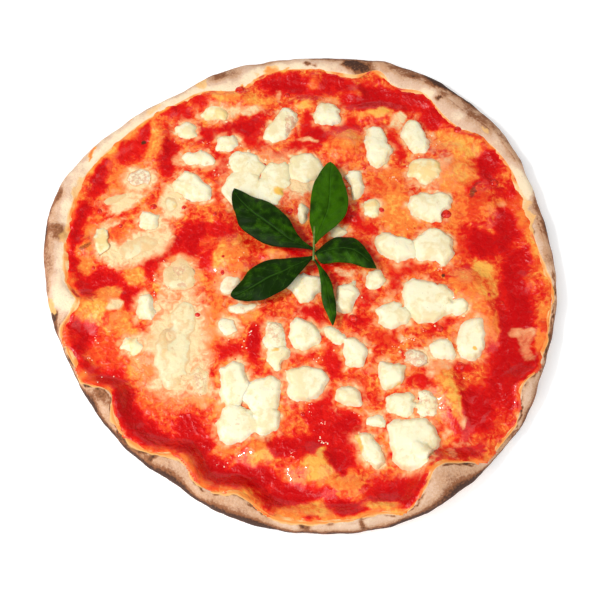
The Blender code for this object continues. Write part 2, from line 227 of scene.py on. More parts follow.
@dataclass(frozen=True)
class DoughForm:
    """The shape of the dough, as the solids have it."""

    middle: tuple[float, float] = (1.43, -1.38)
    edge_radius: float = 160.0
    edge_waves: tuple[Wave, ...] = (
        Wave(0, 12, 1.5), Wave(38, 12, 10), Wave(63, 12, 11.5), Wave(84, 9, 2.5), Wave(106, 7, 3),
        Wave(123, 5, -3.5), Wave(160, 12, 10), Wave(180, 9, 1), Wave(204, 8, -1), Wave(220, 22, -8),
        Wave(241, 7, -3), Wave(292, 13, 5.5), Wave(312, 9, 3), Wave(325, 5, 2.5),
    )
    sauce_radius: float = 152.0
    sauce_waves: tuple[Wave, ...] = (
        Wave(12, 6, -2), Wave(32, 9, 5), Wave(45, 4, -4), Wave(58, 3, 5), Wave(70, 2.6, 8),
        Wave(108, 4.5, -9.5), Wave(124, 6, -3), Wave(156, 8, 4), Wave(182, 5, -5), Wave(190, 3, -12),
        Wave(216, 3.6, -12), Wave(228, 8, -5), Wave(241, 4.6, -13), Wave(256, 4.2, -9),
        Wave(286, 2.2, -3), Wave(292, 4, 3), Wave(300, 26, 7), Wave(302, 4.6, -12), Wave(316, 5, 7),
        Wave(330, 2.8, -5), Wave(339, 6, 4), Wave(354, 3.5, 5),
    )
    crest_height: float = 11.0
    crest_waves: tuple[Wave, ...] = (
        Wave(45, 25, 1), Wave(95, 20, -1), Wave(190, 4, 2), Wave(205, 8, -2), Wave(216, 4.5, 5),
        Wave(241, 5, 6), Wave(256, 5, 7), Wave(275, 8, 2), Wave(301, 6, 8), Wave(317, 6, -3),
        Wave(331, 4, 4),
    )
    thinnest_rim: float = 3.5
    crest_setback: float = 1.0
    puffed_setback: float = 0.45
    edge_level: float = 0.4
    undercut: float = 5.0
    floor_height: float = 4.0
    floor_swell: float = 0.45
    swell_sizes: tuple[float, float, float] = (17.0, 21.0, 9.0)
    bubble_loss: float = 0.6
    slope_width: float = 14.0
    bubbles: tuple[Blot, ...] = (
        Blot(106, -14, 30, 28, 0, 6.0), Blot(116, -36, 34, 16, 80, 3.5), Blot(122, 50, 38, 26, 70, 5.0),
        Blot(100, 74, 40, 36, 0, 4.0), Blot(112, 92, 26, 20, 40, 3.5), Blot(30, 92, 28, 26, 0, 5.0),
        Blot(50, 119, 38, 14, 5, 4.0), Blot(4, 126, 22, 12, 0, 3.0), Blot(10, 142, 14, 14, 0, 3.5),
        Blot(38, 134, 16, 14, 0, 3.5), Blot(-44, 10, 30, 28, 0, 4.5), Blot(-14, 12, 26, 16, 0, 3.0),
        Blot(90, -82, 42, 18, 105, 4.5), Blot(8, -124, 24, 24, 60, 6.0), Blot(26, -136, 30, 14, 0, 3.5),
        Blot(-25, -114, 20, 18, 0, 3.5), Blot(-96, 90, 36, 14, 75, 4.0), Blot(-124, -26, 34, 24, 20, 5.0),
        Blot(-50, 128, 36, 14, 8, 3.5), Blot(-136, 17, 16, 15, 0, 3.5), Blot(143, -7, 14, 14, 0, 3.0),
        Blot(-88, -52, 26, 24, 0, 2.5),
    )

    def edge(self, bearing: Array) -> Array:
        """Radius of the widest line of the rim."""
        return around(self.edge_radius, self.edge_waves, bearing)

    def sauce(self, bearing: Array) -> Array:
        """Radius of the sauce's border."""
        border = around(self.sauce_radius, self.sauce_waves, bearing)
        return np.minimum(border, self.edge(bearing) - self.thinnest_rim)

    def crest(self, bearing: Array) -> Array:
        """Radius of the rim's crest, well out from the sauce where the rim is puffed."""
        sauce = self.sauce(bearing)
        puffed = ease((np.sin(np.radians(bearing)) + 0.5) / 0.7)
        spare = self.edge(bearing) - sauce - self.crest_setback
        return sauce + self.crest_setback + puffed * self.puffed_setback * spare

    def height(self, bearing: Array) -> Array:
        """Height of the rim's crest."""
        return around(self.crest_height, self.crest_waves, bearing)

    def lift(self, points: Array) -> Array:
        """Height that bubbles and uneven stretching add to the dough."""
        total = np.zeros(len(points))
        for bubble in self.bubbles:
            total += bubble.level * np.maximum(0.0, 1.0 - 0.5 * bubble.reach(points) ** 2) ** 2
        return total

    def top(self, points: Array) -> Array:
        """Height of the dough's top, anywhere inside the crest."""
        bearing = bearings(points)
        x, y = points[:, 0], points[:, 1]
        floor = self.sauce(bearing) - self.slope_width
        climb = ease((np.hypot(x, y) - floor) / (self.crest(bearing) - floor))
        wide, deep, slant = self.swell_sizes
        swell = np.sin(x / wide + 1.0) * np.cos(y / deep) + np.sin((x - y) / slant) / 2.0
        lift = self.lift(points) * (1.0 - self.bubble_loss * climb)
        base = self.floor_height + self.floor_swell * swell + lift
        return base + (self.height(bearing) - self.floor_height) * climb


FORM = DoughForm()


# ---------------------------------------------------------------- meshes


def finish_mesh(name: str, bm: bmesh.types.BMesh) -> bpy.types.Object:
    """An object of a bmesh in millimetres, which is freed.

    Args:
        name: The object's name.
        bm: The shape, placed from the middle of the rim's mean circle.

    Returns:
        The object, in metres, smooth shaded.
    """
    bmesh.ops.recalc_face_normals(bm, faces=bm.faces[:])
    mesh = bpy.data.meshes.new(name)
    bm.to_mesh(mesh)
    bm.free()
    mesh.shade_smooth()
    thing = bpy.data.objects.new(name, mesh)
    bpy.context.scene.collection.objects.link(thing)
    place(mesh, places(mesh, scale=1.0))
    return thing


def places(mesh: bpy.types.Mesh, scale: float = MM) -> Array:
    """Where the vertices of a mesh are, in millimetres from the middle of the rim's mean circle."""
    flat = np.empty(len(mesh.vertices) * 3)
    mesh.vertices.foreach_get("co", flat)
    points = flat.reshape(-1, 3) / scale
    if scale == MM:
        points[:, :2] -= FORM.middle
    return points


def place(mesh: bpy.types.Mesh, points: Array) -> None:
    """Moves the vertices of a mesh to places in millimetres from the middle of the rim's mean circle."""
    moved = points.copy()
    moved[:, :2] += FORM.middle
    mesh.vertices.foreach_set("co", (moved * MM).ravel())
    mesh.update()


def normals(mesh: bpy.types.Mesh) -> Array:
    """The direction that each vertex of a mesh faces."""
    flat = np.empty(len(mesh.vertices) * 3)
    mesh.vertex_normals.foreach_get("vector", flat)
    return flat.reshape(-1, 3)


def mark(mesh: bpy.types.Mesh, name: str, values: Array) -> None:
    """Writes a field on a mesh, for its material to read."""
    layer = mesh.attributes.new(name, "FLOAT", "POINT")
    layer.data.foreach_set("value", np.asarray(values, np.float32))


def gaps_between(points: Array, others: Array) -> Array:
    """How far each point is, on plan, from the nearest of some others.

    Args:
        points: One row each.
        others: What they are measured to.

    Returns:
        One distance for each point.
    """
    tree = KDTree(len(others))
    for row, spot in enumerate(others):
        tree.insert((spot[0], spot[1], 0.0), row)
    tree.balance()
    return np.array([tree.find((x, y, 0.0))[2] for x, y in points[:, :2]])


def settle(thing: bpy.types.Object, slot: str, material: bpy.types.Material, *nodes: str) -> None:
    """Dresses a finished piece and puts it on the pizza.

    Args:
        thing: The piece.
        slot: Name of a material slot; not used.
        material: Its finish.
        *nodes: The solids that it stands for.
    """
    thing.data.materials.clear()
    thing.data.materials.append(material)
    if nodes:
        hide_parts(*nodes)
    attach(thing, BODY)
    LOG.info("%s: %d faces", thing.name, len(thing.data.polygons))


# ---------------------------------------------------------------- shader expressions


class Wire:
    """A socket that shader maths is written with."""

    def __init__(self, graph: "Graph", socket: bpy.types.NodeSocket) -> None:
        """Keeps the socket and the graph that it is in."""
        self.graph = graph
        self.socket = socket

    def _maths(self, operation: str, *values: "Value") -> "Wire":
        """A Math node on values."""
        return self.graph.node("ShaderNodeMath", {"operation": operation}, dict(enumerate(values)))

    def __add__(self, other: "Value") -> "Wire":
        """self + other."""
        return self._maths("ADD", self, other)

    __radd__ = __add__

    def __sub__(self, other: "Value") -> "Wire":
        """self - other."""
        return self._maths("SUBTRACT", self, other)

    def __rsub__(self, other: "Value") -> "Wire":
        """other - self."""
        return self._maths("SUBTRACT", other, self)

    def __mul__(self, other: "Value") -> "Wire":
        """self * other."""
        return self._maths("MULTIPLY", self, other)

    __rmul__ = __mul__

    def __abs__(self) -> "Wire":
        """Size without sign."""
        return self._maths("ABSOLUTE", self)

    def fraction(self) -> "Wire":
        """What is left above the whole number below."""
        return self._maths("FRACT", self)

    def most(self, other: "Value") -> "Wire":
        """The larger of two values."""
        return self._maths("MAXIMUM", self, other)

    def step(self, low: float, high: float) -> "Wire":
        """0 below low, 1 above high and smooth between; low may be the larger."""
        settings = {"interpolation_type": "SMOOTHSTEP"}
        sockets = {"Value": self, "From Min": low, "From Max": high}
        return self.graph.node("ShaderNodeMapRange", settings, sockets)


Value = Union[float, Wire]
Tint = Union[Colour, Wire]


class Graph:
    """The nodes of one material."""

    def __init__(self, name: str) -> None:
        """Makes the material, empty."""
        self.material = bpy.data.materials.new(name)
        self.material.use_nodes = True
        self.tree = self.material.node_tree
        self.tree.nodes.clear()

    def node(
        self,
        kind: str,
        settings: dict[str, Any] | None = None,
        sockets: dict[Any, Any] | None = None,
        output: int = 0,
    ) -> Wire:
        """Any node.

        Args:
            kind: Its type.
            settings: What is set on the node first; "stops" are a ramp's places and colours.
            sockets: Values or links of its inputs, by name or number.
            output: Which output is wanted.

        Returns:
            That output.
        """
        made = self.tree.nodes.new(kind)
        for name, value in (settings or {}).items():
            if name == "stops":
                self._set_stops(made.color_ramp, value)
            else:
                setattr(made, name, value)
        for name, value in (sockets or {}).items():
            if isinstance(value, Wire):
                self.tree.links.new(value.socket, made.inputs[name])
            else:
                made.inputs[name].default_value = value
        return Wire(self, made.outputs[output])

    def _set_stops(self, ramp: bpy.types.ColorRamp, stops: Sequence[tuple[float, Colour]]) -> None:
        """Gives a ramp its stops."""
        ramp.interpolation = "EASE"
        while len(ramp.elements) < len(stops):
            ramp.elements.new(1.0)
        for element, (position, colour) in zip(ramp.elements, stops):
            element.position = position
            element.color = colour

    def field(self, name: str) -> Wire:
        """A field that is written on the mesh."""
        return self.node("ShaderNodeAttribute", {"attribute_name": name}, output=2)

    def noise(self, size: float, detail: float = 2.0, warp: float = 0.0, shift: float = 0.0) -> Wire:
        """Noise from 0 to 1 on the piece.

        Args:
            size: Of one lump, in millimetres.
            detail: Finer layers.
            warp: How twisted the lumps are.
            shift: Another shift, in metres, gives another pattern.

        Returns:
            The noise.
        """
        spot = self.node("ShaderNodeTexCoord", output=3)
        if shift:
            moved = {0: spot, 1: (shift, shift, shift)}
            spot = self.node("ShaderNodeVectorMath", {"operation": "ADD"}, moved)
        sockets = {"Vector": spot, "Scale": 1.0 / (size * MM), "Detail": detail, "Distortion": warp}
        return self.node("ShaderNodeTexNoise", None, sockets)

    def cells(self, size: float) -> Wire:
        """Distance from the nearest of scattered points, about 0 to 1, in millimetre sized cells."""
        spot = self.node("ShaderNodeTexCoord", output=3)
        return self.node("ShaderNodeTexVoronoi", None, {"Vector": spot, "Scale": 1.0 / (size * MM)})

    def ramp(self, value: Wire, stops: Sequence[tuple[float, Colour]]) -> Wire:
        """A colour for a value."""
        return self.node("ShaderNodeValToRGB", {"stops": stops}, {0: value})

    def mix(self, share: Value, below: Tint, above: Tint) -> Wire:
        """One colour over another."""
        return self.node("ShaderNodeMix", {"data_type": "RGBA"}, {0: share, 6: below, 7: above}, output=2)

    def bump(self, height: Wire, depth: float) -> Wire:
        """Relief of a depth in millimetres."""
        return self.node("ShaderNodeBump", None, {"Height": height, "Distance": depth * MM, "Strength": 1.0})

    def surface(self, **sockets: Any) -> bpy.types.Material:
        """Ends the graph in a Principled surface.

        Args:
            **sockets: Its inputs, with underscores for spaces.

        Returns:
            The material.
        """
        inputs = {name.replace("_", " "): value for name, value in sockets.items()}
        shader = self.node("ShaderNodeBsdfPrincipled", None, inputs)
        end = self.tree.nodes.new("ShaderNodeOutputMaterial")
        self.tree.links.new(shader.socket, end.inputs["Surface"])
        return self.material


# ---------------------------------------------------------------- finishes


@dataclass(frozen=True)
class DoughFinish:
    """Baked dough: cream to charred by how baked it is, darker also by painted shade, dusty with flour,
    stained by the sauce.
    """

    cream: Colour = paint(248, 225, 188)
    tan: Colour = paint(219, 180, 150)
    grey_tan: Colour = paint(200, 150, 112)
    brown: Colour = paint(146, 88, 50)
    char: Colour = paint(70, 36, 18)
    pepper: Colour = paint(160, 112, 80)
    honey: Colour = paint(246, 192, 116)
    orange: Colour = paint(246, 146, 62)
    sauce_red: Colour = paint(205, 40, 20)
    flour: Colour = paint(236, 212, 190)
    patch_size: float = 9.0
    grain_size: float = 1.5
    dust_size: float = 0.8
    pepper_size: float = 0.9
    relief: float = 0.35

    def material(self) -> bpy.types.Material:
        """Makes it."""
        graph = Graph("baked_dough")
        patches = graph.noise(self.patch_size, 4.0, 0.4)
        grain = graph.noise(self.grain_size, 3.0)
        dust = graph.noise(self.dust_size, 2.0, shift=0.3)
        bake_and_shade = graph.field("bake_and_shade")
        # baked holds both the bake and the painted shade, so the shade runs up the same ramp to brown and
        # char.
        baked = bake_and_shade + (patches - 0.5) * 0.3 + (grain - 0.5) * (bake_and_shade * 0.45 + 0.14)
        stops = (
            (0.0, self.cream), (0.28, self.tan), (0.5, self.grey_tan), (0.74, self.brown), (1.0, self.char),
        )
        colour = graph.ramp(baked, stops)
        pepper = graph.noise(self.pepper_size, 2.0, shift=0.6).step(0.56, 0.72) * patches.step(0.4, 0.62)
        colour = graph.mix(pepper * 0.4, colour, self.pepper)
        flour = (graph.field("flour") + (dust - 0.5) * 1.1).step(0.2, 1.0) * baked.step(0.8, 0.5) * 0.45
        colour = graph.mix(flour, colour, self.flour)
        stain = graph.field("stain") + (patches - 0.5) * 0.4 + (grain - 0.5) * 0.2
        colour = graph.mix(stain.step(0.12, 0.4) * 0.8, colour, self.honey)
        colour = graph.mix(stain.step(0.36, 0.72), colour, self.orange)
        colour = graph.mix(stain.step(0.8, 1.1), colour, self.sauce_red)
        relief = graph.bump(grain + dust * 0.5, self.relief)
        return graph.surface(
            Base_Color=colour, Roughness=0.86 - stain.step(0.2, 0.8) * 0.4, Normal=relief,
            Subsurface_Weight=0.06, Subsurface_Radius=(0.9, 0.5, 0.25), Subsurface_Scale=0.002,
        )


@dataclass(frozen=True)
class SauceFinish:
    """Crushed tomato with oil: from bare golden dough to deep red, with films of melted cheese."""

    gold: Colour = paint(250, 178, 78)
    orange: Colour = paint(247, 128, 52)
    light_red: Colour = paint(233, 70, 28)
    red: Colour = paint(220, 19, 10)
    deep: Colour = paint(196, 0, 4)
    peach: Colour = paint(246, 158, 104)
    cream: Colour = paint(243, 214, 162)
    brown: Colour = paint(96, 44, 20)
    clot_size: float = 8.0
    pulp_size: float = 2.5
    fine_size: float = 0.9
    veil_size: float = 4.4
    relief: float = 1.0

    def material(self) -> bpy.types.Material:
        """Makes it."""
        graph = Graph("tomato_sauce")
        clots = graph.noise(self.clot_size, 1.5, 0.7)
        pulp = graph.noise(self.pulp_size, 3.0, 0.6, shift=0.2)
        fine = graph.noise(self.fine_size, 1.0, shift=0.5)
        mottle = graph.field("mottle")
        tone = graph.field("tone") + ((clots - 0.5) * 0.9 + (pulp - 0.5) * 1.25) * mottle
        stops = (
            (0.0, self.gold), (0.22, self.orange), (0.45, self.light_red),
            (0.66, self.red), (1.0, self.deep),
        )
        colour = graph.ramp(tone, stops)
        veil = graph.noise(self.veil_size, 2.5, 0.9, shift=0.7)
        film = graph.field("film") + ((veil - 0.5) * 1.2 + (pulp - 0.5) * 0.3) * mottle
        colour = graph.mix(film.step(0.16, 0.6) * 0.8, colour, self.peach)
        colour = graph.mix(film.step(0.48, 0.92) * 0.95, colour, self.cream)
        scorch = graph.field("scorch") + (fine - 0.5) * 0.3
        colour = graph.mix(scorch.step(0.3, 0.8), colour, self.brown)
        relief = graph.bump(clots * 1.2 + pulp * 0.6 + veil * 0.2 + fine * 0.05, self.relief)
        return graph.surface(
            Base_Color=colour, Roughness=0.2 + fine * 0.1 + film.step(0.3, 0.85) * 0.16, Normal=relief,
            Specular_IOR_Level=0.2, Coat_Weight=0.3, Coat_Roughness=0.05,
            Subsurface_Weight=0.12, Subsurface_Radius=(1.0, 0.25, 0.1), Subsurface_Scale=0.0015,
        )


class Melt(Enum):
    """How far a piece of mozzarella has melted."""

    FRESH = "fresh"
    GOLDEN = "golden"
    POROUS = "porous"
    MELTED = "melted"


@dataclass(frozen=True)
class CheeseFinish:
    """Mozzarella: cream white, with fat and sauce at its margin and in its pores."""

    name: str
    white: Colour
    shade: Colour
    margin: Colour = paint(244, 168, 108)
    gold: Colour = paint(247, 190, 84)
    pink: Colour = paint(224, 168, 134)
    speck: Colour = paint(150, 112, 70)
    pore_level: float = 0.0
    roughness: float = 0.3
    broad_size: float = 26.0
    soft_size: float = 7.0
    curd_size: float = 2.4
    fine_size: float = 0.8
    speck_spacing: float = 3.1
    relief: float = 0.6

    def material(self) -> bpy.types.Material:
        """Makes it."""
        graph = Graph(self.name)
        broad = graph.noise(self.broad_size, 1.0, shift=0.9)
        soft = graph.noise(self.soft_size, 3.0, 0.5)
        curd = graph.noise(self.curd_size, 3.0, 0.3, shift=0.1)
        fine = graph.noise(self.fine_size, 2.0, shift=0.4)
        shade = soft + (curd - 0.5) * 0.5 + (broad - 0.5) * 0.8
        colour = graph.mix(shade.step(0.4, 0.68), self.white, self.shade)
        gold = graph.field("gold") + (curd - 0.5) * 0.5
        colour = graph.mix(gold.step(0.3, 0.9), colour, self.gold)
        pores = graph.field("pores") + (curd - 0.5) * 2.0 + (fine - 0.5) * 0.8 + self.pore_level
        colour = graph.mix(pores.step(0.45, 0.95) * 0.8, colour, self.pink)
        stain = graph.field("stain") + (curd - 0.5) * 0.45 + (soft - 0.5) * 0.3
        colour = graph.mix(stain.step(0.35, 0.95), colour, self.margin)
        dots = graph.cells(self.speck_spacing).step(0.13, 0.05) * fine.step(0.52, 0.62)
        colour = graph.mix(dots * 0.6, colour, self.speck)
        relief = graph.bump(curd * 0.35 + fine * 0.1 - pores.step(0.4, 0.9) * 0.32, self.relief)
        return graph.surface(
            Base_Color=colour, Roughness=self.roughness + fine * 0.2, Normal=relief, Specular_IOR_Level=0.45,
            Subsurface_Weight=0.35, Subsurface_Radius=(1.0, 0.75, 0.4), Subsurface_Scale=0.0025,
        )


CHEESE_FINISHES: dict[Melt, CheeseFinish] = {
    Melt.FRESH: CheeseFinish("fresh_mozzarella", paint(249, 239, 204), paint(238, 221, 174)),
    Melt.GOLDEN: CheeseFinish("golden_mozzarella", paint(250, 234, 188), paint(246, 212, 146)),
    Melt.POROUS: CheeseFinish(
        "porous_mozzarella", paint(250, 234, 198), paint(240, 212, 172), pore_level=0.3
    ),
    Melt.MELTED: CheeseFinish(
        "melted_mozzarella", paint(244, 224, 178), paint(236, 198, 146), paint(243, 196, 140),
        pore_level=0.12,
    ),
}


@dataclass(frozen=True)
class LeafFinish:
    """Basil: dark green, lighter along its veins, glossy above."""

    dark: Colour = paint(15, 38, 0)
    mid: Colour = paint(50, 94, 0)
    light: Colour = paint(84, 120, 26)
    vein: Colour = paint(62, 108, 30)
    ribs: float = 7.0
    lean: float = 1.7
    patch_size: float = 7.0
    grain_size: float = 0.9
    relief: float = 0.45

    def material(self) -> bpy.types.Material:
        """Makes it."""
        graph = Graph("basil_leaf")
        along = graph.field("along")
        aside = abs(graph.field("aside"))
        patches = graph.noise(self.patch_size, 3.0, 0.3)
        grain = graph.noise(self.grain_size, 2.0)
        phase = (along * self.ribs - aside * self.lean + (patches - 0.5) * 1.4).fraction()
        side_vein = abs(phase - 0.5).step(0.44, 0.5) * aside.step(1.0, 0.75)
        midrib = aside.step(0.07, 0.02)
        veins = side_vein * (patches.step(0.35, 0.65) * 0.3 + 0.03)
        tone = graph.field("shade") + (patches - 0.5) * 1.6 - graph.field("aside") * 0.14
        colour = graph.mix(tone.step(0.1, 0.9), self.dark, self.mid)
        lit = (grain - 0.5) * 2.0 + (patches - 0.5)
        colour = graph.mix(lit.step(0.1, 0.9) * 0.32, colour, self.light)
        colour = graph.mix(veins.most(midrib * 0.35), colour, self.vein)
        relief = graph.bump(veins.most(midrib) * -1.0 + grain * 0.25, self.relief)
        return graph.surface(
            Base_Color=colour, Roughness=0.36 + grain * 0.15, Normal=relief, Specular_IOR_Level=0.08,
            Subsurface_Weight=0.08, Subsurface_Radius=(0.3, 1.0, 0.2), Subsurface_Scale=0.001,
        )


@dataclass(frozen=True)
class BitFinish:
    """A small plain thing with a mottled colour."""

    name: str
    light: Colour
    dark: Colour
    roughness: float
    size: float = 1.5
    relief: float = 0.3

    def material(self) -> bpy.types.Material:
        """Makes it."""
        graph = Graph(self.name)
        mottle = graph.noise(self.size, 3.0, 0.3)
        colour = graph.mix(mottle.step(0.35, 0.65), self.light, self.dark)
        relief = graph.bump(mottle, self.relief)
        return graph.surface(Base_Color=colour, Roughness=self.roughness, Normal=relief)


# ---------------------------------------------------------------- the dough


class Zone(Enum):
    """A band of the crust, from the middle of its top out over the rim and in under it."""

    FLOOR = 0
    SLOPE = 1
    CROWN = 2
    OUTER = 3
    UNDER = 4
    BASE = 5


@dataclass(frozen=True)
class Spread:
    """Where the crust's vertices are: place, zone, share of the way across it, and bearing."""

    points: Array
    zone: Array
    share: Array
    bearing: Array

    def within(self, *zones: Zone) -> Array:
        """Which vertices are in any of some zones."""
        return np.isin(self.zone, [zone.value for zone in zones])

    def front(self) -> Array:
        """1 along the front of the rim and 0 along its back."""
        return ease((0.35 - np.sin(np.radians(self.bearing))) / 0.5)

    def beyond(self, radius: Array) -> Array:
        """How far out the vertices are from a line round the rim."""
        return np.hypot(self.points[:, 0], self.points[:, 1]) - radius


@dataclass
class Crust:
    """The disc of dough with its rim."""

    sides: int = 720
    rings: dict[Zone, int] = field(
        default_factory=lambda: {
            Zone.FLOOR: 10, Zone.SLOPE: 8, Zone.CROWN: 24, Zone.OUTER: 28, Zone.UNDER: 10, Zone.BASE: 36,
        }
    )
    lump_size: float = 15.0
    lump_rise: float = 0.8
    wrinkle_size: float = 5.0
    wrinkle_rise: float = 0.22
    grain_size: float = 1.9
    grain_rise: float = 0.05
    covered_drop: float = 1.6
    blister_size: float = 11.0
    blister_rise: float = 0.5
    uneven_size: float = 24.0
    leopard_size: float = 17.0
    outer_bake_and_shade_size: float = 17.0
    # Width of the painted shadow line just past the crest at the front.
    crest_shadow_width: float = 0.7
    floor_bake: float = 0.05
    underside_bake: float = 0.6
    hidden_stain: float = 0.66
    bare_stain: float = 0.3
    baked_waves: tuple[Wave, ...] = (
        Wave(48, 22, 0.36), Wave(5, 14, 0.22), Wave(182, 9, 0.12), Wave(204, 8, 0.25), Wave(225, 9, 0.3),
        Wave(240, 5, 0.25), Wave(256, 5, 0.34), Wave(282, 12, -0.06), Wave(307, 14, 0.3),
        Wave(338, 8, 0.15),
    )
    bare_waves: tuple[Wave, ...] = (Wave(322, 20, -0.72), Wave(55, 30, -0.4), Wave(10, 12, -0.3))
    # How far the outer wall darkens toward its foot and past the crest, round the rim: partly browning,
    # partly painted shade.
    outer_bake_and_shade_waves: tuple[Wave, ...] = (Wave(36, 17, -0.9), Wave(112, 8, -0.5))
    marks: tuple[Blot, ...] = (
        Blot(42, 153, 19, 10, -5, 0.98), Blot(34, 156, 8, 6, 0, 0.9), Blot(52, 151, 5, 5, 0, 0.7),
        Blot(72, 150, 34, 9, -20, 0.62), Blot(93, 143, 17, 12, -35, 0.88),
        Blot(103, 136, 16, 6, -45, 1.05), Blot(95, 127, 4, 4, 0, 1.0), Blot(98, 130, 8, 4, -40, 0.6),
        Blot(-53, 147, 24, 12, 18, 0.46), Blot(-55, 155, 26, 4, 18, 0.34), Blot(4, 156, 3.4, 3, 0, 0.8),
        Blot(9, 155, 5, 2, 0, 0.7), Blot(-154, 25, 9, 11, 0, 0.78), Blot(-152, -32, 7, 7, 0, 0.95),
        Blot(-149, -39, 5, 9, 10, 0.9), Blot(-160, 52, 9, 16, -10, 0.5), Blot(-161, 0, 8, 44, 0, 0.6),
        Blot(-161, -14, 5, 12, 0, 0.75), Blot(-103, -109, 12, 4, -42, 0.9),
        Blot(-92, -116, 12, 3.4, -35, 0.85), Blot(-84, -120, 5, 3.5, 0, 0.9),
        Blot(-116, -84, 11, 6, -30, 0.85), Blot(-113, -89, 6, 4, 0, 0.7), Blot(3, -157, 6, 3.4, 0, 0.85),
        Blot(36, -156, 5, 3, -30, 0.85), Blot(-36, -138, 12, 3.4, -8, 0.8),
        Blot(148, 27, 3.4, 14, -5, 0.75), Blot(157, -16, 4, 7, 0, 0.9), Blot(156, -24, 4, 8, -10, 0.6),
        Blot(150, -54, 4, 28, -12, 0.9), Blot(120, -108, 4, 16, -40, 0.7), Blot(-139, 83, 2, 8, -14, 0.8),
        Blot(119, 100, 6, 6, 0, 0.4), Blot(155, 6, 6, 9, 0, 0.55), Blot(154, 48, 8, 22, -14, 0.5),
        Blot(115, 115, 8, 14, 40, 0.5),
    )
    splashes: tuple[Blot, ...] = (
        Blot(-42, 136, 6, 6, 0, 1.3), Blot(-34, 140, 9, 2.5, 45, 0.8), Blot(-57, 134, 5, 2, 10, 1.0),
        Blot(-62, 132, 3.4, 2, 0, 1.0), Blot(-98, 120, 5, 3, 0, 0.8), Blot(-113, 109, 3, 2.4, 40, 0.9),
        Blot(-139, 83, 3, 9, -14, 0.9), Blot(-151, 23, 6, 10, 0, 0.3), Blot(-158, -23, 5, 5, 0, 1.1),
        Blot(-154, -26, 8, 9, 0, 0.5), Blot(-68, 141, 9, 13, 0, 0.4), Blot(86, 128, 12, 6, -35, 0.4),
        Blot(123, 102, 7, 3, -50, 0.34), Blot(-100, 118, 14, 5, 38, 0.3), Blot(-20, 150, 12, 11, 0, 0.66),
        Blot(-142, 58, 12, 17, -15, 0.4), Blot(-136, 65, 4, 10, 30, 0.6), Blot(-131, -28, 18, 15, 0, 0.4),
        Blot(142, 52, 8, 24, 28, 0.3), Blot(147, 35, 6, 16, 0, 0.42), Blot(-30, 148, 3, 4, 0, 0.3),
        Blot(-9, 153, 4, 2, 0, 0.6),
    )
    # Paler patches of dough; Blot(107, 113, 7, 9, 0, 0.14) is a painted highlight.
    pale: tuple[Blot, ...] = (
        Blot(146, 61, 26, 16, -66, -0.08), Blot(-142, -22, 30, 20, -25, 0.0),
        Blot(-36, 147, 24, 14, 10, 0.02), Blot(-8, 154, 30, 6, 0, 0.05), Blot(-128, 92, 60, 12, 47, 0.0),
        Blot(87, 132, 9, 9, -35, 0.05), Blot(22, 156, 18, 6, 0, 0.12), Blot(107, 113, 7, 9, 0, 0.14),
        Blot(-152, 42, 10, 16, 0, 0.02), Blot(-147, 74, 30, 10, 50, 0.04), Blot(131, 92, 5, 16, 15, 0.2),
        Blot(-85, 128, 26, 8, 30, 0.02), Blot(-150, -2, 8, 30, 10, 0.1), Blot(150, -34, 5, 5, 0, 0.1),
    )

    def _stations(self) -> tuple[Array, Array]:
        """The zone and the share of the way across it, for each ring of latitude and both poles."""
        zones: list[float] = [Zone.FLOOR.value]
        shares: list[float] = [0.0]
        for zone, count in self.rings.items():
            for step in range(1, count + 1):
                zones.append(zone.value)
                shares.append(step / (count + 1.0) if zone is Zone.BASE else step / count)
        return np.array(zones + [Zone.BASE.value]), np.array(shares + [1.0])

    def _section(self, zone: Array, share: Array, bearing: Array) -> tuple[Array, Array]:
        """Radius and height on the crust.

        Args:
            zone: Which band, one value for each place.
            share: How far across it.
            bearing: Where round the rim.

        Returns:
            The radii and the heights. On the floor, slope and crown a height is not a number.
        """
        sauce, crest, edge = FORM.sauce(bearing), FORM.crest(bearing), FORM.edge(bearing)
        floor, height = sauce - FORM.slope_width, FORM.height(bearing)
        level = FORM.edge_level * height
        quarter = np.radians(90.0 * share)
        rest = edge - FORM.undercut
        bands = [zone == band.value for band in Zone]
        radius = np.select(bands, [
            floor * share, floor + (sauce - floor) * share, sauce + (crest - sauce) * share,
            crest + (edge - crest) * np.sin(quarter), edge - FORM.undercut * (1.0 - np.cos(quarter)),
            rest * (1.0 - share),
        ])
        none = np.full(len(zone), np.nan)
        falling = level + (height - level) * np.cos(quarter)
        tucked = level * (1.0 - np.sin(quarter))
        heights = np.select(bands, [none, none, none, falling, tucked, 0.0 * share])
        return radius, heights

    def build(self) -> bpy.types.Object:
        """Makes the dough from a grid rolled into a globe, whose rings of latitude become its bands.

        Returns:
            The crust, with its fields.
        """
        zones, shares = self._stations()
        last = len(zones) - 1
        thing = finish_mesh("crust_looks", self._globe(last))
        globe = places(thing.data)
        ring = np.rint(np.arccos(np.clip(globe[:, 2], -1.0, 1.0)) / math.pi * last).astype(int)
        bearing = bearings(globe)
        zone, share = zones[ring], shares[ring]
        radius, height = self._section(zone, share, bearing)
        turn = np.radians(bearing)
        flat = np.column_stack((radius * np.cos(turn), radius * np.sin(turn)))
        inner = [zone == Zone.FLOOR.value, zone == Zone.SLOPE.value]
        covered = np.select(inner, [1.0, 1.0 - ease(share)], 0.0)
        height = np.where(np.isnan(height), FORM.top(flat) - self.covered_drop * covered, height)
        overlap = self._overlap(bearing) * np.cos(np.radians(90.0 * share))
        height += np.where(zone == Zone.OUTER.value, overlap, 0.0)
        at = Spread(np.column_stack((flat, height)), zone, share, bearing)
        place(thing.data, at.points)
        self._roughen(thing.data, at)
        self._mark(thing.data, at)
        return thing

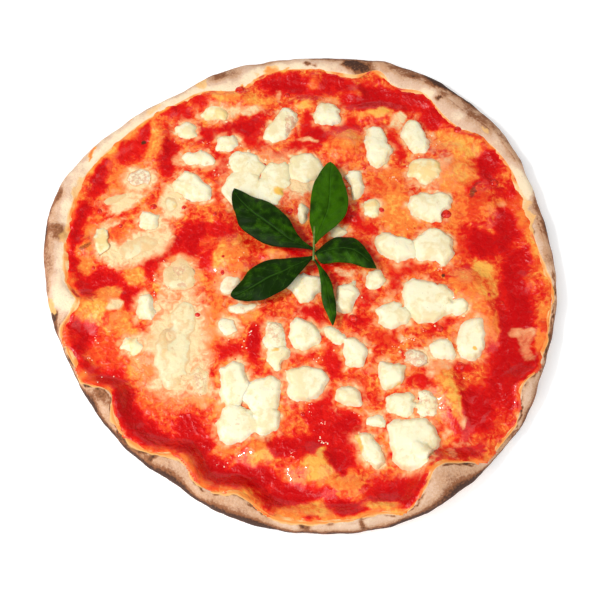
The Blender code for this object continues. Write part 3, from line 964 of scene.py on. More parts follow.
    def _globe(self, rings: int) -> bmesh.types.BMesh:
        """A globe of radius 1, from a grid.

        Args:
            rings: Bands of latitude.

        Returns:
            The globe, closed at its seam and poles.
        """
        bm = bmesh.new()
        bmesh.ops.create_grid(bm, x_segments=self.sides, y_segments=rings, size=0.5)
        seam = []
        for vert in bm.verts:
            if max(abs(vert.co.x), abs(vert.co.y)) > 0.4999:
                seam.append(vert)
            turn, fall = math.tau * vert.co.x, math.pi * (vert.co.y + 0.5)
            vert.co = (math.cos(turn) * math.sin(fall), math.sin(turn) * math.sin(fall), math.cos(fall))
        bmesh.ops.remove_doubles(bm, verts=seam, dist=1e-5)
        return bm

    def _overlap(self, bearing: Array) -> Array:
        """How far bubbles raise the crest above its own height."""
        turn, crest = np.radians(bearing), FORM.crest(bearing)
        spot = np.column_stack((crest * np.cos(turn), crest * np.sin(turn)))
        return FORM.top(spot) - FORM.height(bearing)

    def _roughen(self, mesh: bpy.types.Mesh, at: Spread) -> None:
        """Gives the rim lumps and wrinkles, and the underside blisters."""
        rim = np.select(
            [at.within(Zone.CROWN), at.within(Zone.OUTER), at.within(Zone.UNDER)],
            [ease(at.share * 2.0), 1.0, 1.0 - at.share],
            0.0,
        )
        amount = self.lump_rise * noise(at.points, self.lump_size, 1)
        amount += self.wrinkle_rise * noise(at.points, self.wrinkle_size, 2, 2)
        amount += self.grain_rise * noise(at.points, self.grain_size, 3)
        points = at.points + normals(mesh) * (rim * amount)[:, None]
        blisters = np.maximum(0.0, noise(points, self.blister_size, 4, 2))
        points[:, 2] += at.within(Zone.BASE) * self.blister_rise * blisters
        points[:, 2] = np.maximum(points[:, 2], 0.0)
        place(mesh, points)

    def _bake_and_shade(self, at: Spread, spots: Array) -> Array:
        """How baked the dough is, from 0 for cream to 1 for charred, with painted shade added on the outer
        wall and along the front crest.

        Args:
            at: The crust's vertices.
            spots: Their places, wandered for uneven edges.

        Returns:
            One value for each vertex.
        """
        crown, outer = at.within(Zone.CROWN), at.within(Zone.OUTER)
        below = at.within(Zone.UNDER, Zone.BASE)
        front, share = at.front(), at.share
        extra = around(0.0, self.baked_waves, at.bearing)
        outer_bake_and_shade = around(1.0, self.outer_bake_and_shade_waves, at.bearing)
        uneven = noise(at.points, self.uneven_size, 5, 2)
        inner = 0.04 + extra * (0.35 + 0.65 * share) + 0.16 * share
        # Down the outer wall toward its foot the dough darkens, more at the front: partly browning where it
        # met the oven, partly painted shade on a wall that faces down and away from the light.
        wall = 0.16 + extra * (0.45 + 0.35 * front) + 0.04 * front + (0.26 + 0.3 * uneven) * share
        wall += (0.28 * outer_bake_and_shade + 0.16 * front) * ease((share - 0.3) / 0.5)
        bake_and_shade = np.select([crown, outer, below], [inner, wall, self.underside_bake], self.floor_bake)
        bake_and_shade += 0.09 * uneven
        # Painted shadow: a thin jagged dark line just past the crest along the front of the rim.
        jagged = at.beyond(FORM.crest(at.bearing)) - 0.5 - 1.6 * noise(at.points, 3.2, 14, 2)
        gaps = ease(noise(at.points, 17.0, 15, 2) / 0.3 + 0.6)
        bake_and_shade += 0.5 * front * gaps * np.exp(-((jagged / self.crest_shadow_width) ** 2)) * (crown | outer)
        # Patchy darkening on the back of the outer wall just past the crest: partly browning, partly painted
        # shade.
        patchy_bake_and_shade = np.maximum(0.0, 0.12 + 0.3 * noise(at.points, self.outer_bake_and_shade_size, 17, 2))
        bake_and_shade += (1.0 - front) * (ease((share - 0.06) / 0.24) * outer * patchy_bake_and_shade) * outer_bake_and_shade
        bake_and_shade = np.where(below, bake_and_shade, painted(bake_and_shade, spots, self.pale, 0.6))
        bake_and_shade = np.where(below, bake_and_shade, painted(bake_and_shade, spots, self.marks, 0.6))
        # Darker out past the crest on the back of the rim: partly browning, partly painted shade.
        outward_bake_and_shade = 0.17 + 0.2 * noise(at.points, 8.0, 16, 2)
        outward_bake_and_shade *= ease((at.beyond(FORM.crest(at.bearing)) + 3.5) / 6.0)
        bake_and_shade += (1.0 - front) * np.where(below, 0.0, np.maximum(outward_bake_and_shade, 0.0))
        leopard = ease((noise(at.points, self.leopard_size, 6, 2) - 0.12) / 0.4)
        return np.where(below, bake_and_shade - 0.12 + 0.42 * leopard, bake_and_shade)

    def _stain(self, at: Spread, spots: Array) -> Array:
        """How far sauce and oil have coloured the dough, from 0 for not at all to 1 for red.

        Args:
            at: The crust's vertices.
            spots: Their places, wandered for uneven edges.

        Returns:
            One value for each vertex.
        """
        crown, front = at.within(Zone.CROWN), at.front()
        past_sauce = at.beyond(FORM.sauce(at.bearing))
        ragged = 2.6 + 3.4 * noise(at.points, 13.0, 7, 2) + 1.5 * noise(at.points, 4.5, 9)
        ragged = np.maximum(0.3, ragged) * ((0.45 + 0.75 * front) * around(1.0, self.bare_waves, at.bearing))
        stain = np.where(crown, (0.34 + 0.4 * front) * (1.0 - ease(past_sauce / ragged)), 0.0)
        lip = (1.0 - ease(np.abs(past_sauce) / (0.8 * ragged))) * front * 0.84
        stain = np.where(crown | at.within(Zone.OUTER), np.maximum(stain, lip), stain)
        hidden = self.hidden_stain + 0.6 * noise(at.points, 9.0, 18, 2)
        stain = np.where(at.within(Zone.FLOOR, Zone.SLOPE), hidden, stain)
        below = at.within(Zone.UNDER, Zone.BASE)
        return np.where(below, stain, painted(stain, spots, self.splashes, 0.3))

    def _mark(self, mesh: bpy.types.Mesh, at: Spread) -> None:
        """Writes how baked, stained and floury the dough is; painted shade is written with the bake."""
        spots = wander(wander(at.points, 4.0, 1.2, 11), 9.0, 2.4, 13)
        stain = self._stain(at, spots)
        flour = 0.45 + 0.2 * noise(at.points, 14.0, 8)
        flour = np.where(at.within(Zone.CROWN, Zone.OUTER), flour, 0.15)
        mark(mesh, "bake_and_shade", self._bake_and_shade(at, spots))
        mark(mesh, "stain", stain)
        mark(mesh, "flour", np.where(stain > self.bare_stain, 0.0, flour))

    def dress(self, thing: bpy.types.Object) -> None:
        """Bakes it."""
        settle(thing, "baked_dough", DoughFinish().material(), "crust")


# ---------------------------------------------------------------- the sauce


@dataclass
class Sauce:
    """The skin of tomato sauce, with bare golden bubbles, deep pools and films of melted cheese."""

    side: float = 163.0
    squares: int = 300
    thickness: float = 1.5
    sunk: float = 0.6
    fade: float = 7.0
    clot_size: float = 6.0
    clot_rise: float = 0.45
    pulp_size: float = 3.2
    pulp_rise: float = 0.14
    foot: float = 2.0
    hem_width: float = 1.0
    hem_waves: tuple[Wave, ...] = (
        Wave(14, 9, 7), Wave(345, 12, 5), Wave(212, 18, 4.6), Wave(245, 16, 4.6), Wave(275, 14, 4.6),
        Wave(310, 9, 1.4), Wave(154, 12, 5), Wave(185, 8, 4.5), Wave(105, 10, 1), Wave(74, 4, 4),
        Wave(38, 5, 3),
    )
    hem_tones: tuple[Wave, ...] = (
        Wave(222, 24, 0.26), Wave(330, 14, 0.2), Wave(30, 14, 0.16), Wave(168, 10, 0.2),
    )
    tone: float = 0.46
    tone_drift: float = 0.16
    drift_size: float = 26.0
    hem_tone: float = 0.18
    halo_tone: float = 0.26
    halo_width: float = 4.0
    milk_width: float = 3.4
    pool_mottle: float = 0.42
    dome_mottle: float = 0.5
    pools: tuple[Blot, ...] = (
        Blot(-8, 141, 36, 13, 0, 1.0), Blot(14, 139, 16, 12, 0, 0.82), Blot(27, 142, 18, 15, 0, 0.92),
        Blot(38, 127, 22, 12, -10, 0.85), Blot(52, 131, 30, 17, -15, 1.0),
        Blot(76, 128, 34, 16, -16, 0.9), Blot(92, 113, 20, 15, -30, 0.68), Blot(85, 114, 8, 12, 0, 0.82),
        Blot(107, 103, 11, 6, -35, 0.88), Blot(90, 114, 12, 16, -20, 0.94),
        Blot(125, 77, 18, 24, -25, 0.96), Blot(127, 63, 8, 9, 0, 0.85), Blot(131, 56, 8, 8, 0, 0.72),
        Blot(136, 36, 20, 28, 10, 0.95), Blot(117, 19, 26, 18, 0, 0.95), Blot(131, 22, 9, 22, 0, 1.0),
        Blot(136, -20, 60, 17, 92, 1.0), Blot(127, -24, 8, 34, 0, 0.76), Blot(126, -50, 42, 22, 80, 1.0),
        Blot(127, -70, 40, 26, 60, 0.95), Blot(104, 15, 10, 16, 0, 0.55),
        Blot(105, -88, 26, 20, 60, 0.95), Blot(78, -115, 10, 14, -20, 0.82),
        Blot(96, -115, 18, 6, 8, 0.75), Blot(60, -139, 42, 17, 0, 0.92), Blot(65, -132, 9, 17, 0, 0.96),
        Blot(27, -102, 24, 24, 0, 0.96), Blot(25, -121, 22, 16, -50, 0.95),
        Blot(10, -95, 12, 22, 0, 0.85), Blot(4, -112, 34, 13, 0, 0.92), Blot(-10, -113, 16, 10, 0, 0.96),
        Blot(-4, -140, 36, 12, 8, 0.96), Blot(-30, -130, 42, 15, -5, 1.0),
        Blot(-52, -127, 16, 20, -50, 0.95), Blot(-60, -112, 20, 26, 0, 0.92),
        Blot(-66, -99, 14, 14, 0, 0.95), Blot(-85, -107, 26, 13, -20, 1.0),
        Blot(-100, -94, 14, 36, 22, 1.0), Blot(-118, -68, 24, 24, 0, 0.9),
        Blot(-133, -50, 17, 40, 12, 1.0), Blot(24, -148, 26, 12, 0, 0.95),
        Blot(-144, 40, 14, 16, 0, 0.95), Blot(-146, 25, 10, 30, 0, 0.96), Blot(-146, 8, 10, 24, 0, 0.9),
        Blot(-139, -15, 18, 12, -30, 0.96), Blot(-127, -7, 28, 18, 0, 0.96),
        Blot(-106, -16, 13, 21, 0, 0.9), Blot(-132, 68, 9, 22, -20, 0.96), Blot(-134, 57, 9, 7, 0, 0.86),
        Blot(-113, 88, 28, 16, 35, 0.7), Blot(-104, 101, 8, 17, -30, 0.82), Blot(-95, 108, 11, 6, 0, 0.7),
        Blot(-88, 84, 10, 28, -5, 1.0), Blot(-97, 4, 18, 12, 40, 0.86), Blot(-85, 14, 24, 13, 35, 0.86),
        Blot(-72, 18, 24, 18, 20, 0.92), Blot(-66, 28, 16, 16, 0, 0.96), Blot(-51, 30, 16, 10, 0, 0.8),
        Blot(-59, 8, 13, 12, 0, 0.8), Blot(-82, 118, 15, 12, 20, 0.78), Blot(-68, 127, 13, 8, 0, 0.78),
        Blot(-62, 102, 30, 12, 0, 0.92), Blot(-38, 106, 28, 14, 8, 0.97), Blot(-28, 111, 12, 12, 0, 0.92),
        Blot(-30, 94, 17, 10, 0, 0.72), Blot(-14, 86, 15, 6, 0, 0.86), Blot(5, 108, 8, 24, 0, 0.82),
        Blot(12, 100, 17, 14, 0, 0.96), Blot(0, 92, 18, 6, 0, 0.76), Blot(-52, 78, 11, 15, 0, 0.78),
        Blot(-58, 70, 11, 6, 0, 0.7), Blot(-54, 54, 8, 20, 0, 0.6), Blot(30, 108, 24, 10, 0, 0.82),
        Blot(55, 108, 11, 6, 0, 0.7), Blot(62, 97, 8, 16, 0, 0.7), Blot(66, 88, 8, 12, 0, 0.75),
        Blot(57, 75, 8, 8, 0, 0.74), Blot(53, 62, 7, 10, 0, 0.62), Blot(35, 37, 14, 10, 0, 0.9),
        Blot(42, 30, 13, 7, 0, 0.72), Blot(30, 22, 15, 6, 0, 0.7), Blot(45, 14, 8, 17, 35, 0.66),
        Blot(60, -8, 7, 15, 0, 0.78), Blot(68, 3, 24, 9, 0, 0.62), Blot(15, 1, 15, 6, 0, 0.72),
        Blot(39, -18, 10, 13, 0, 0.72), Blot(33, -32, 15, 8, -30, 0.95), Blot(8, -29, 15, 13, 0, 0.88),
        Blot(14, -36, 6, 14, 0, 0.72), Blot(85, -38, 17, 6, 15, 0.68), Blot(97, -63, 13, 8, 0, 0.82),
        Blot(75, -71, 14, 8, 0, 0.74), Blot(52, -46, 13, 11, 0, 0.58), Blot(-28, -47, 9, 25, -8, 1.0),
        Blot(-42, -53, 15, 10, 0, 0.82), Blot(-15, -70, 12, 8, 0, 0.88), Blot(3, -56, 12, 6, 0, 0.66),
        Blot(20, -62, 11, 24, 0, 0.82), Blot(15, -84, 10, 15, 0, 0.88), Blot(-11, 34, 5, 13, 30, 0.82),
        Blot(0, 24, 9, 18, 0, 0.62), Blot(-6, 43, 6, 6, 0, 0.76), Blot(-5, 13, 11, 4, 0, 0.86),
        Blot(-57, -90, 4, 15, 0, 0.64), Blot(36, -80, 8, 14, 0, 0.72), Blot(118, -4, 6, 7, 0, 0.6),
        Blot(117, 63, 3.4, 14, -40, 0.9), Blot(110, 56, 4, 22, -14, 0.86), Blot(118, 50, 10, 8, 0, 0.7),
        Blot(142, 44, 9, 34, 12, 0.84), Blot(140, 10, 16, 12, 0, 0.9), Blot(131, -2, 8, 14, 0, 0.98),
        Blot(103, -92, 28, 22, 60, 0.96),
    )
    # Golden bubbles of bare dough; Blot(-50, 12, 8, 20, 0, 0.12) is a painted highlight on the bubble at
    # (-44, 8).
    domes: tuple[Blot, ...] = (
        Blot(30, 91, 25, 24, 0, 0.34), Blot(33, 96, 17, 14, 0, 0.2), Blot(55, 118, 17, 9, 0, 0.0),
        Blot(44, 116, 13, 5, 0, 0.14), Blot(3, 123, 14, 8, 0, 0.04), Blot(22, 130, 8, 8, 0, 0.26),
        Blot(100, 95, 24, 18, 0, 0.17), Blot(113, 88, 20, 16, 20, 0.08), Blot(103, 68, 28, 24, 30, 0.17),
        Blot(104, 44, 15, 26, -20, 0.3), Blot(115, 47, 10, 22, -20, 0.46), Blot(122, 42, 10, 11, 0, 0.28),
        Blot(130, 48, 13, 6, 0, 0.34), Blot(64, 42, 26, 44, 8, 0.18), Blot(48, 60, 9, 14, 0, 0.36),
        Blot(61, 68, 17, 18, 0, 0.3), Blot(115, 1, 16, 12, -25, 0.0), Blot(120, -10, 7, 14, 0, 0.1),
        Blot(104, -8, 18, 18, 0, 0.26), Blot(108, -18, 22, 12, 0, 0.2), Blot(111, -30, 18, 16, 0, 0.23),
        Blot(118, -40, 11, 20, 0, 0.3), Blot(146, -50, 5, 26, 0, 0.24), Blot(90, -80, 30, 9, 108, 0.03),
        Blot(85, -67, 11, 14, 0, 0.2), Blot(94, -94, 5, 12, 15, 0.14), Blot(8, -127, 22, 16, 0, 0.04),
        Blot(12, -117, 6, 13, -25, 0.05), Blot(-4, -128, 15, 12, 0, 0.3), Blot(25, -133, 25, 8, 0, 0.18),
        Blot(32, -130, 7, 10, 0, 0.22), Blot(8, -148, 20, 9, 0, 0.1), Blot(44, -147, 20, 6, 0, 0.1),
        Blot(-24, -115, 13, 14, 0, 0.2), Blot(-20, -118, 9, 5, 0, 0.04), Blot(-44, -115, 16, 6, 0, 0.3),
        Blot(-48, -90, 8, 11, 0, 0.12), Blot(-44, 8, 24, 27, 0, 0.25), Blot(-50, 12, 8, 20, 0, 0.12),
        Blot(-17, 11, 15, 6, 0, 0.18), Blot(-52, -28, 15, 15, 0, 0.25), Blot(-52, -12, 8, 22, 0, 0.32),
        Blot(-48, -38, 19, 9, 0, 0.15), Blot(-30, -31, 19, 6, 0, 0.12), Blot(-55, -46, 15, 15, 0, 0.28),
        Blot(-64, -3, 6, 14, 40, 0.14), Blot(-78, 8, 15, 5, 0, 0.26), Blot(-104, -4, 11, 14, 0, 0.12),
        Blot(-119, -17, 15, 13, 0, 0.17), Blot(-128, -28, 22, 15, 20, 0.08),
        Blot(-110, -36, 15, 17, 0, 0.17), Blot(-103, -41, 10, 6, 0, 0.04), Blot(-88, -48, 12, 20, 0, 0.1),
        Blot(-87, -55, 8, 6, 0, 0.02), Blot(-118, -55, 28, 24, 0, 0.44), Blot(-95, -63, 18, 20, 0, 0.22),
        Blot(-85, -86, 26, 13, 0, 0.36), Blot(-136, 4, 11, 16, 0, 0.26), Blot(-134, 30, 8, 28, 0, 0.36),
        Blot(-123, 67, 12, 22, 0, 0.28), Blot(-97, 96, 10, 32, 0, 0.15), Blot(-116, 58, 14, 8, 0, 0.3),
        Blot(-50, 131, 26, 8, 0, 0.1), Blot(-28, 128, 22, 8, 0, 0.16), Blot(10, 142, 9, 11, 0, 0.4),
        Blot(38, 133, 9, 8, 0, 0.5), Blot(143, -7, 8, 9, 0, 0.42), Blot(-137, 15, 10, 10, 0, 0.3),
        Blot(-60, 20, 10, 12, 0, 0.5), Blot(-117, 26, 14, 12, 0, 0.36), Blot(-60, -84, 16, 10, 0, 0.24),
        Blot(-14, -97, 18, 12, 0, 0.5),
    )
    films: tuple[Blot, ...] = (
        Blot(-56, 118, 28, 13, 8, 0.85), Blot(-35, 121, 18, 9, 8, 0.8), Blot(-70, 115, 6, 6, 0, 0.7),
        Blot(-80, 82, 12, 12, 0, 0.6), Blot(-107, 67, 25, 21, 0, 1.0), Blot(-108, 55, 18, 9, 0, 0.45),
        Blot(-117, 48, 26, 11, 28, 1.0), Blot(-84, 50, 18, 27, 10, 1.0), Blot(-121, 34, 15, 7, 20, 0.7),
        Blot(-121, 13, 22, 15, -20, 0.9), Blot(-104, 17, 42, 25, 25, 0.95), Blot(-90, 30, 16, 18, 0, 0.9),
        Blot(-128, 24, 9, 18, 0, 0.8), Blot(-117, 26, 13, 10, 0, 0.15), Blot(-115, -24, 9, 9, 0, 0.85),
        Blot(-101, -49, 17, 16, 0, 0.8), Blot(-75, -48, 40, 72, 0, 0.95), Blot(-84, -66, 28, 24, 0, 0.8),
        Blot(-59, -72, 12, 34, 0, 0.62), Blot(-82, -24, 16, 20, 0, 0.7), Blot(-44, -37, 15, 14, 0, 0.8),
        Blot(-33, -24, 22, 6, 0, 0.7), Blot(-72, 66, 13, 9, 0, 0.55), Blot(-20, 68, 70, 44, 0, 0.6),
        Blot(1, 63, 22, 16, 0, 0.95), Blot(66, 112, 11, 13, 0, 0.8), Blot(69, 117, 6, 6, 0, 0.9),
        Blot(88, 101, 6, 5, 0, 0.6), Blot(92, 95, 8, 7, 0, 0.45), Blot(97, 78, 14, 12, 20, 0.55),
        Blot(47, 45, 15, 18, 0, 0.75), Blot(82, 64, 28, 9, 0, 0.6), Blot(93, 72, 12, 18, 0, 0.7),
        Blot(56, -15, 10, 6, 0, 0.5), Blot(30, -1, 14, 6, 0, 0.7), Blot(35, -47, 22, 9, -20, 0.5),
        Blot(63, -45, 9, 4, 0, 0.7), Blot(70, -44, 6, 4, 0, 0.6), Blot(74, -56, 18, 13, 0, 0.85),
        Blot(84, -63, 14, 7, 0, 0.6), Blot(80, -68, 8, 6, 0, 0.5), Blot(43, -93, 15, 7, 0, 0.6),
        Blot(86, -105, 5, 7, 0, 0.65), Blot(96, -98, 5, 8, 0, 0.65), Blot(88, -117, 7, 7, 0, 0.5),
        Blot(4, 97, 15, 5, 0, 0.75), Blot(84, -92, 10, 26, 0, 0.3), Blot(95, -110, 16, 5, 0, 0.35),
        Blot(53, -128, 14, 10, 0, 0.25), Blot(33, 96, 15, 13, 0, 0.3), Blot(103, 68, 26, 20, 30, 0.3),
        Blot(-17, 11, 14, 6, 0, 0.4), Blot(137, -42, 15, 7, 0, 0.62), Blot(138, -52, 9, 20, 0, 0.45),
        Blot(-15, 132, 5, 9, 20, 0.5), Blot(-14, -50, 18, 40, 0, 0.5), Blot(-95, -63, 16, 18, 0, 0.3),
        Blot(-76, -3, 28, 30, 0, 0.6), Blot(-10, -98, 14, 12, 0, 0.22), Blot(72, -88, 22, 22, 0, 0.5),
        Blot(130, 47, 12, 6, 0, 0.4), Blot(15, -35, 5, 9, 0, 0.3),
    )
    scorches: tuple[Blot, ...] = (
        Blot(90, -3, 3.6, 2.6, 0, 1.0), Blot(-106, 94, 3.6, 5, 10, 1.0), Blot(-137, 16, 4.5, 5, 0, 0.6),
        Blot(114, 56, 3, 14, -32, 0.62), Blot(117, 62, 3, 5, -45, 0.5), Blot(42, 147, 16, 5, 0, 0.5),
        Blot(36, 136, 6, 4, 0, 0.35), Blot(-106, -17, 10, 16, 0, 0.12), Blot(144, -7, 3, 4, 0, 0.4),
    )

    def depth(self, points: Array) -> Array:
        """How thick the sauce is; below nothing beyond its border."""
        bearing = bearings(points)
        inside = FORM.sauce(bearing) - np.hypot(points[:, 0], points[:, 1])
        inside += 2.2 * noise(points[:, :2], 13.0, 21, 2) + 1.1 * noise(points[:, :2], 4.5, 24, 2)
        return (self.thickness + self.sunk) * ease(inside / self.fade + 0.25) - self.sunk

    def top(self, points: Array) -> Array:
        """Height of the sauce's top."""
        flat = points[:, :2]
        clots = self.clot_rise * noise(flat, self.clot_size, 22)
        clots += self.pulp_rise * noise(flat, self.pulp_size, 23)
        depth = self.depth(flat)
        return FORM.top(flat) + depth + clots * ease(depth / self.thickness)

    def build(self) -> bpy.types.Object:
        """Makes the sauce from a grid, cut round a little beyond its border and closed below.

        Returns:
            The sauce, without its fields.
        """
        bm = bmesh.new()
        bmesh.ops.create_grid(bm, x_segments=self.squares, y_segments=self.squares, size=self.side)
        flat = np.array([vert.co[:2] for vert in bm.verts])
        outside = np.hypot(flat[:, 0], flat[:, 1]) > FORM.sauce(bearings(flat)) + 2.2
        bm.verts.ensure_lookup_table()
        bmesh.ops.delete(bm, geom=[bm.verts[row] for row in np.flatnonzero(outside)], context="VERTS")
        heights = self.top(np.array([vert.co[:2] for vert in bm.verts]))
        for vert, height in zip(bm.verts, heights):
            vert.co.z = height
        border = [edge for edge in bm.edges if edge.is_boundary]
        hung = bmesh.ops.extrude_edge_only(bm, edges=border)["geom"]
        for part in hung:
            if isinstance(part, bmesh.types.BMVert):
                part.co.z = self.foot
        bmesh.ops.holes_fill(bm, edges=[edge for edge in bm.edges if edge.is_boundary], sides=0)
        return finish_mesh("tomato_sauce_looks", bm)

    def write_fields(self, thing: bpy.types.Object, cheese: Array) -> None:
        """Writes how deep, milky and scorched the sauce is.

        Args:
            thing: The sauce.
            cheese: Places on the margins of the mozzarella.
        """
        points = places(thing.data)
        flat = points[:, :2]
        spots = wander(wander(points, 9.0, 2.6, 31), 3.6, 0.9, 33)
        tone = self.tone + self.tone_drift * noise(flat, self.drift_size, 35, 2)
        tone = painted(tone, spots, self.pools, 0.45)
        tone = painted(tone, spots, self.domes, 0.4)
        bearing = bearings(points)
        inside = FORM.sauce(bearing) - np.hypot(points[:, 0], points[:, 1])
        rough = 0.8 + 1.5 * noise(flat, 13.0, 36, 2) + 0.6 * noise(flat, 4.5, 38)
        hem = around(self.hem_width, self.hem_waves, bearing) * np.clip(rough, 0.12, 2.4)
        edge = 1.0 - ease((inside - 0.2 * hem) / (0.9 * hem))
        hem_tone = around(self.hem_tone, self.hem_tones, bearing) + 0.28 * noise(flat, 9.0, 39)
        tone = tone + (hem_tone - tone) * edge
        gaps = gaps_between(points, cheese)
        patchy = 0.6 + 0.6 * noise(flat, 6.0, 37) + 0.35 * noise(flat, 3.0, 40)
        halo = np.clip(np.exp(-gaps / self.halo_width) * patchy, 0.0, 1.0)
        tone = tone + (self.halo_tone - tone) * halo * 0.8
        milk = 0.8 * np.exp(-gaps / self.milk_width) * patchy
        calm_pools = [replace(pool, level=self.pool_mottle) for pool in self.pools]
        calm_domes = [replace(dome, level=self.dome_mottle) for dome in self.domes]
        mottle = painted(np.ones(len(points)), spots, calm_pools, 0.45)
        mottle = painted(mottle, spots, calm_domes, 0.4)
        mark(thing.data, "mottle", mottle * (1.0 - 0.6 * edge))
        mark(thing.data, "tone", tone)
        mark(thing.data, "film", np.maximum(spotted(spots, self.films, 0.5), milk))
        mark(thing.data, "scorch", spotted(spots, self.scorches, 0.4))

    def dress(self, thing: bpy.types.Object) -> None:
        """Colours it."""
        settle(thing, "tomato", SauceFinish().material(), "tomato_sauce")


# ---------------------------------------------------------------- the mozzarella


@dataclass
class Mozzarella:
    """The pieces of mozzarella, each grown from its solid."""

    count: int = 48
    voxel: float = 0.75
    lump_size: float = 9.0
    lump_rise: float = 0.6
    curd_size: float = 3.2
    curd_rise: float = 0.05
    wobble_size: float = 8.0
    wobble: float = 1.7
    tear_size: float = 6.0
    tear: float = 0.7
    bite_size: float = 9.0
    bite: float = 1.0
    notch_depth: float = 6.0
    swell: float = 1.7
    sink: float = 0.45
    stain_height: float = 0.7
    rim_height: float = 0.5
    rim_lean: float = 0.5
    margin_height: float = 0.5
    smoothings: int = 5
    slope: dict[Melt, float] = field(
        default_factory=lambda: {Melt.FRESH: 3.2, Melt.GOLDEN: 4.0, Melt.POROUS: 4.4, Melt.MELTED: 5.5}
    )
    melts: dict[Melt, tuple[int, ...]] = field(
        default_factory=lambda: {
            Melt.GOLDEN: (5, 13, 18, 28, 31),
            Melt.POROUS: (9, 19, 20, 21, 37),
            Melt.MELTED: (10, 12, 14, 15, 17),
        }
    )
    flatten: dict[Melt, float] = field(
        default_factory=lambda: {Melt.FRESH: 0.95, Melt.GOLDEN: 0.85, Melt.POROUS: 0.65, Melt.MELTED: 0.4}
    )
    gold: tuple[Blot, ...] = (
        Blot(42, 108, 9, 9, 0, 0.9), Blot(-12, 57, 14, 7, -10, 0.9), Blot(-15, -53, 6, 3, 0, 0.8),
        Blot(106, -53, 3.5, 3.5, 0, 1.0), Blot(-88, 66, 8, 16, 20, 0.8), Blot(-77, 46, 12, 7, 0, 0.8),
        Blot(78, 84, 12, 6, 0, 0.7), Blot(92, 76, 7, 12, 0, 0.6), Blot(61, -76, 12, 5, 8, 0.7),
        Blot(-86, -20, 8, 10, 0, 0.6), Blot(34, -109, 5, 16, 10, 0.8), Blot(46, 100, 5, 12, 10, 0.5),
        Blot(-48, 98, 8, 5, 0, 0.4), Blot(62, -87, 6, 4, 0, 0.5),
    )
    notches: tuple[Blot, ...] = (
        Blot(58, 73, 9, 9, 0, 1.0), Blot(96, 39, 9, 10, 0, 1.0), Blot(31, 56, 7, 20, 0, 0.9),
        Blot(26, -67, 8, 8, 0, 1.0), Blot(43, -67, 8, 8, 0, 1.0), Blot(80, -120, 12, 12, 40, 0.9),
        Blot(52, -127, 10, 10, 0, 0.8), Blot(-31, -84, 14, 14, 0, -0.6), Blot(-28, 68, 12, 12, 0, -0.6),
        Blot(44, 112, 8, 8, 0, -0.4), Blot(18, -63, 8, 8, 0, 0.9), Blot(-9, -62, 6, 6, 0, 0.7),
        Blot(37, -125, 8, 8, 0, 0.8), Blot(69, 33, 6, 6, 0, 0.8), Blot(75, 30, 6, 5, 0, 0.6),
        Blot(-60, 68, 8, 6, -40, 0.7), Blot(-20, 118, 10, 8, 40, 0.8), Blot(-52, -57, 8, 8, 0, 0.8),
        Blot(-50, -92, 7, 9, 0, 0.8),
    )
    groups: tuple[Blot, ...] = (Blot(-20, 68, 80, 52, 0, 0.3), Blot(-30, -85, 46, 60, 0, 0.2))
    pores: tuple[Blot, ...] = (
        Blot(70, -57, 20, 16, 0, 0.45), Blot(-107, 68, 20, 18, 0, 0.35), Blot(-77, 1, 12, 10, 0, 0.5),
        Blot(-74, -10, 6, 5, 0, 0.9), Blot(76, -86, 12, 16, 0, 0.7), Blot(-15, -40, 12, 10, 0, 0.8),
        Blot(-5, 105, 11, 22, 10, 0.85), Blot(90, 1, 13, 8, 0, 0.5), Blot(76, -84, 16, 20, 0, 0.5),
        Blot(70, 108, 8, 10, 0, 0.5), Blot(-14, -42, 14, 18, 0, 0.55), Blot(-60, -72, 14, 24, 0, 0.5),
        Blot(95, 84, 14, 10, 0, 0.4), Blot(-60, 76, 14, 10, 0, 0.35), Blot(56, 105, 8, 8, 0, 0.4),
        Blot(84, 64, 20, 6, 0, 0.4), Blot(-30, -92, 26, 34, 0, 0.22), Blot(-38, 86, 10, 8, 0, 0.3),
    )

    def _melt(self, number: int) -> Melt:
        """How far a piece has melted."""
        return next((melt for melt, numbers in self.melts.items() if number in numbers), Melt.FRESH)

    def build(self, number: int, sauce: Sauce) -> tuple[bpy.types.Object, Array]:
        """Makes one piece.

        Args:
            number: Of its solid.
            sauce: What it lies on.

        Returns:
            The piece with its fields, and places round its margin.
        """
        node = f"mozzarella_{number:02d}"
        melt = self._melt(number)
        bm = bmesh.new()
        bm.from_mesh(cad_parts[node].data)
        bmesh.ops.remove_doubles(bm, verts=bm.verts[:], dist=1e-6)
        draft = bpy.data.meshes.new("draft")
        bm.to_mesh(draft)
        bm.free()
        holder = bpy.data.objects.new("draft", draft)
        bpy.context.scene.collection.objects.link(holder)
        remesh = holder.modifiers.new("remesh", "REMESH")
        remesh.mode = "VOXEL"
        remesh.voxel_size = self.voxel * MM
        remesh.use_smooth_shade = True
        graph = bpy.context.evaluated_depsgraph_get()
        mesh = bpy.data.meshes.new_from_object(holder.evaluated_get(graph))
        bpy.data.objects.remove(holder)
        bpy.data.meshes.remove(draft)
        mesh.name = f"{node}_looks"
        self._soften(mesh)
        margin = self._shape(mesh, sauce, melt)
        thing = bpy.data.objects.new(mesh.name, mesh)
        bpy.context.scene.collection.objects.link(thing)
        return thing, margin

    def _soften(self, mesh: bpy.types.Mesh) -> None:
        """Rounds off the remeshed form."""
        bm = bmesh.new()
        bm.from_mesh(mesh)
        for _ in range(self.smoothings):
            bmesh.ops.smooth_vert(
                bm, verts=bm.verts[:], factor=0.5, use_axis_x=True, use_axis_y=True, use_axis_z=True
            )
        bmesh.ops.recalc_face_normals(bm, faces=bm.faces[:])
        bm.to_mesh(mesh)
        bm.free()
        mesh.shade_smooth()

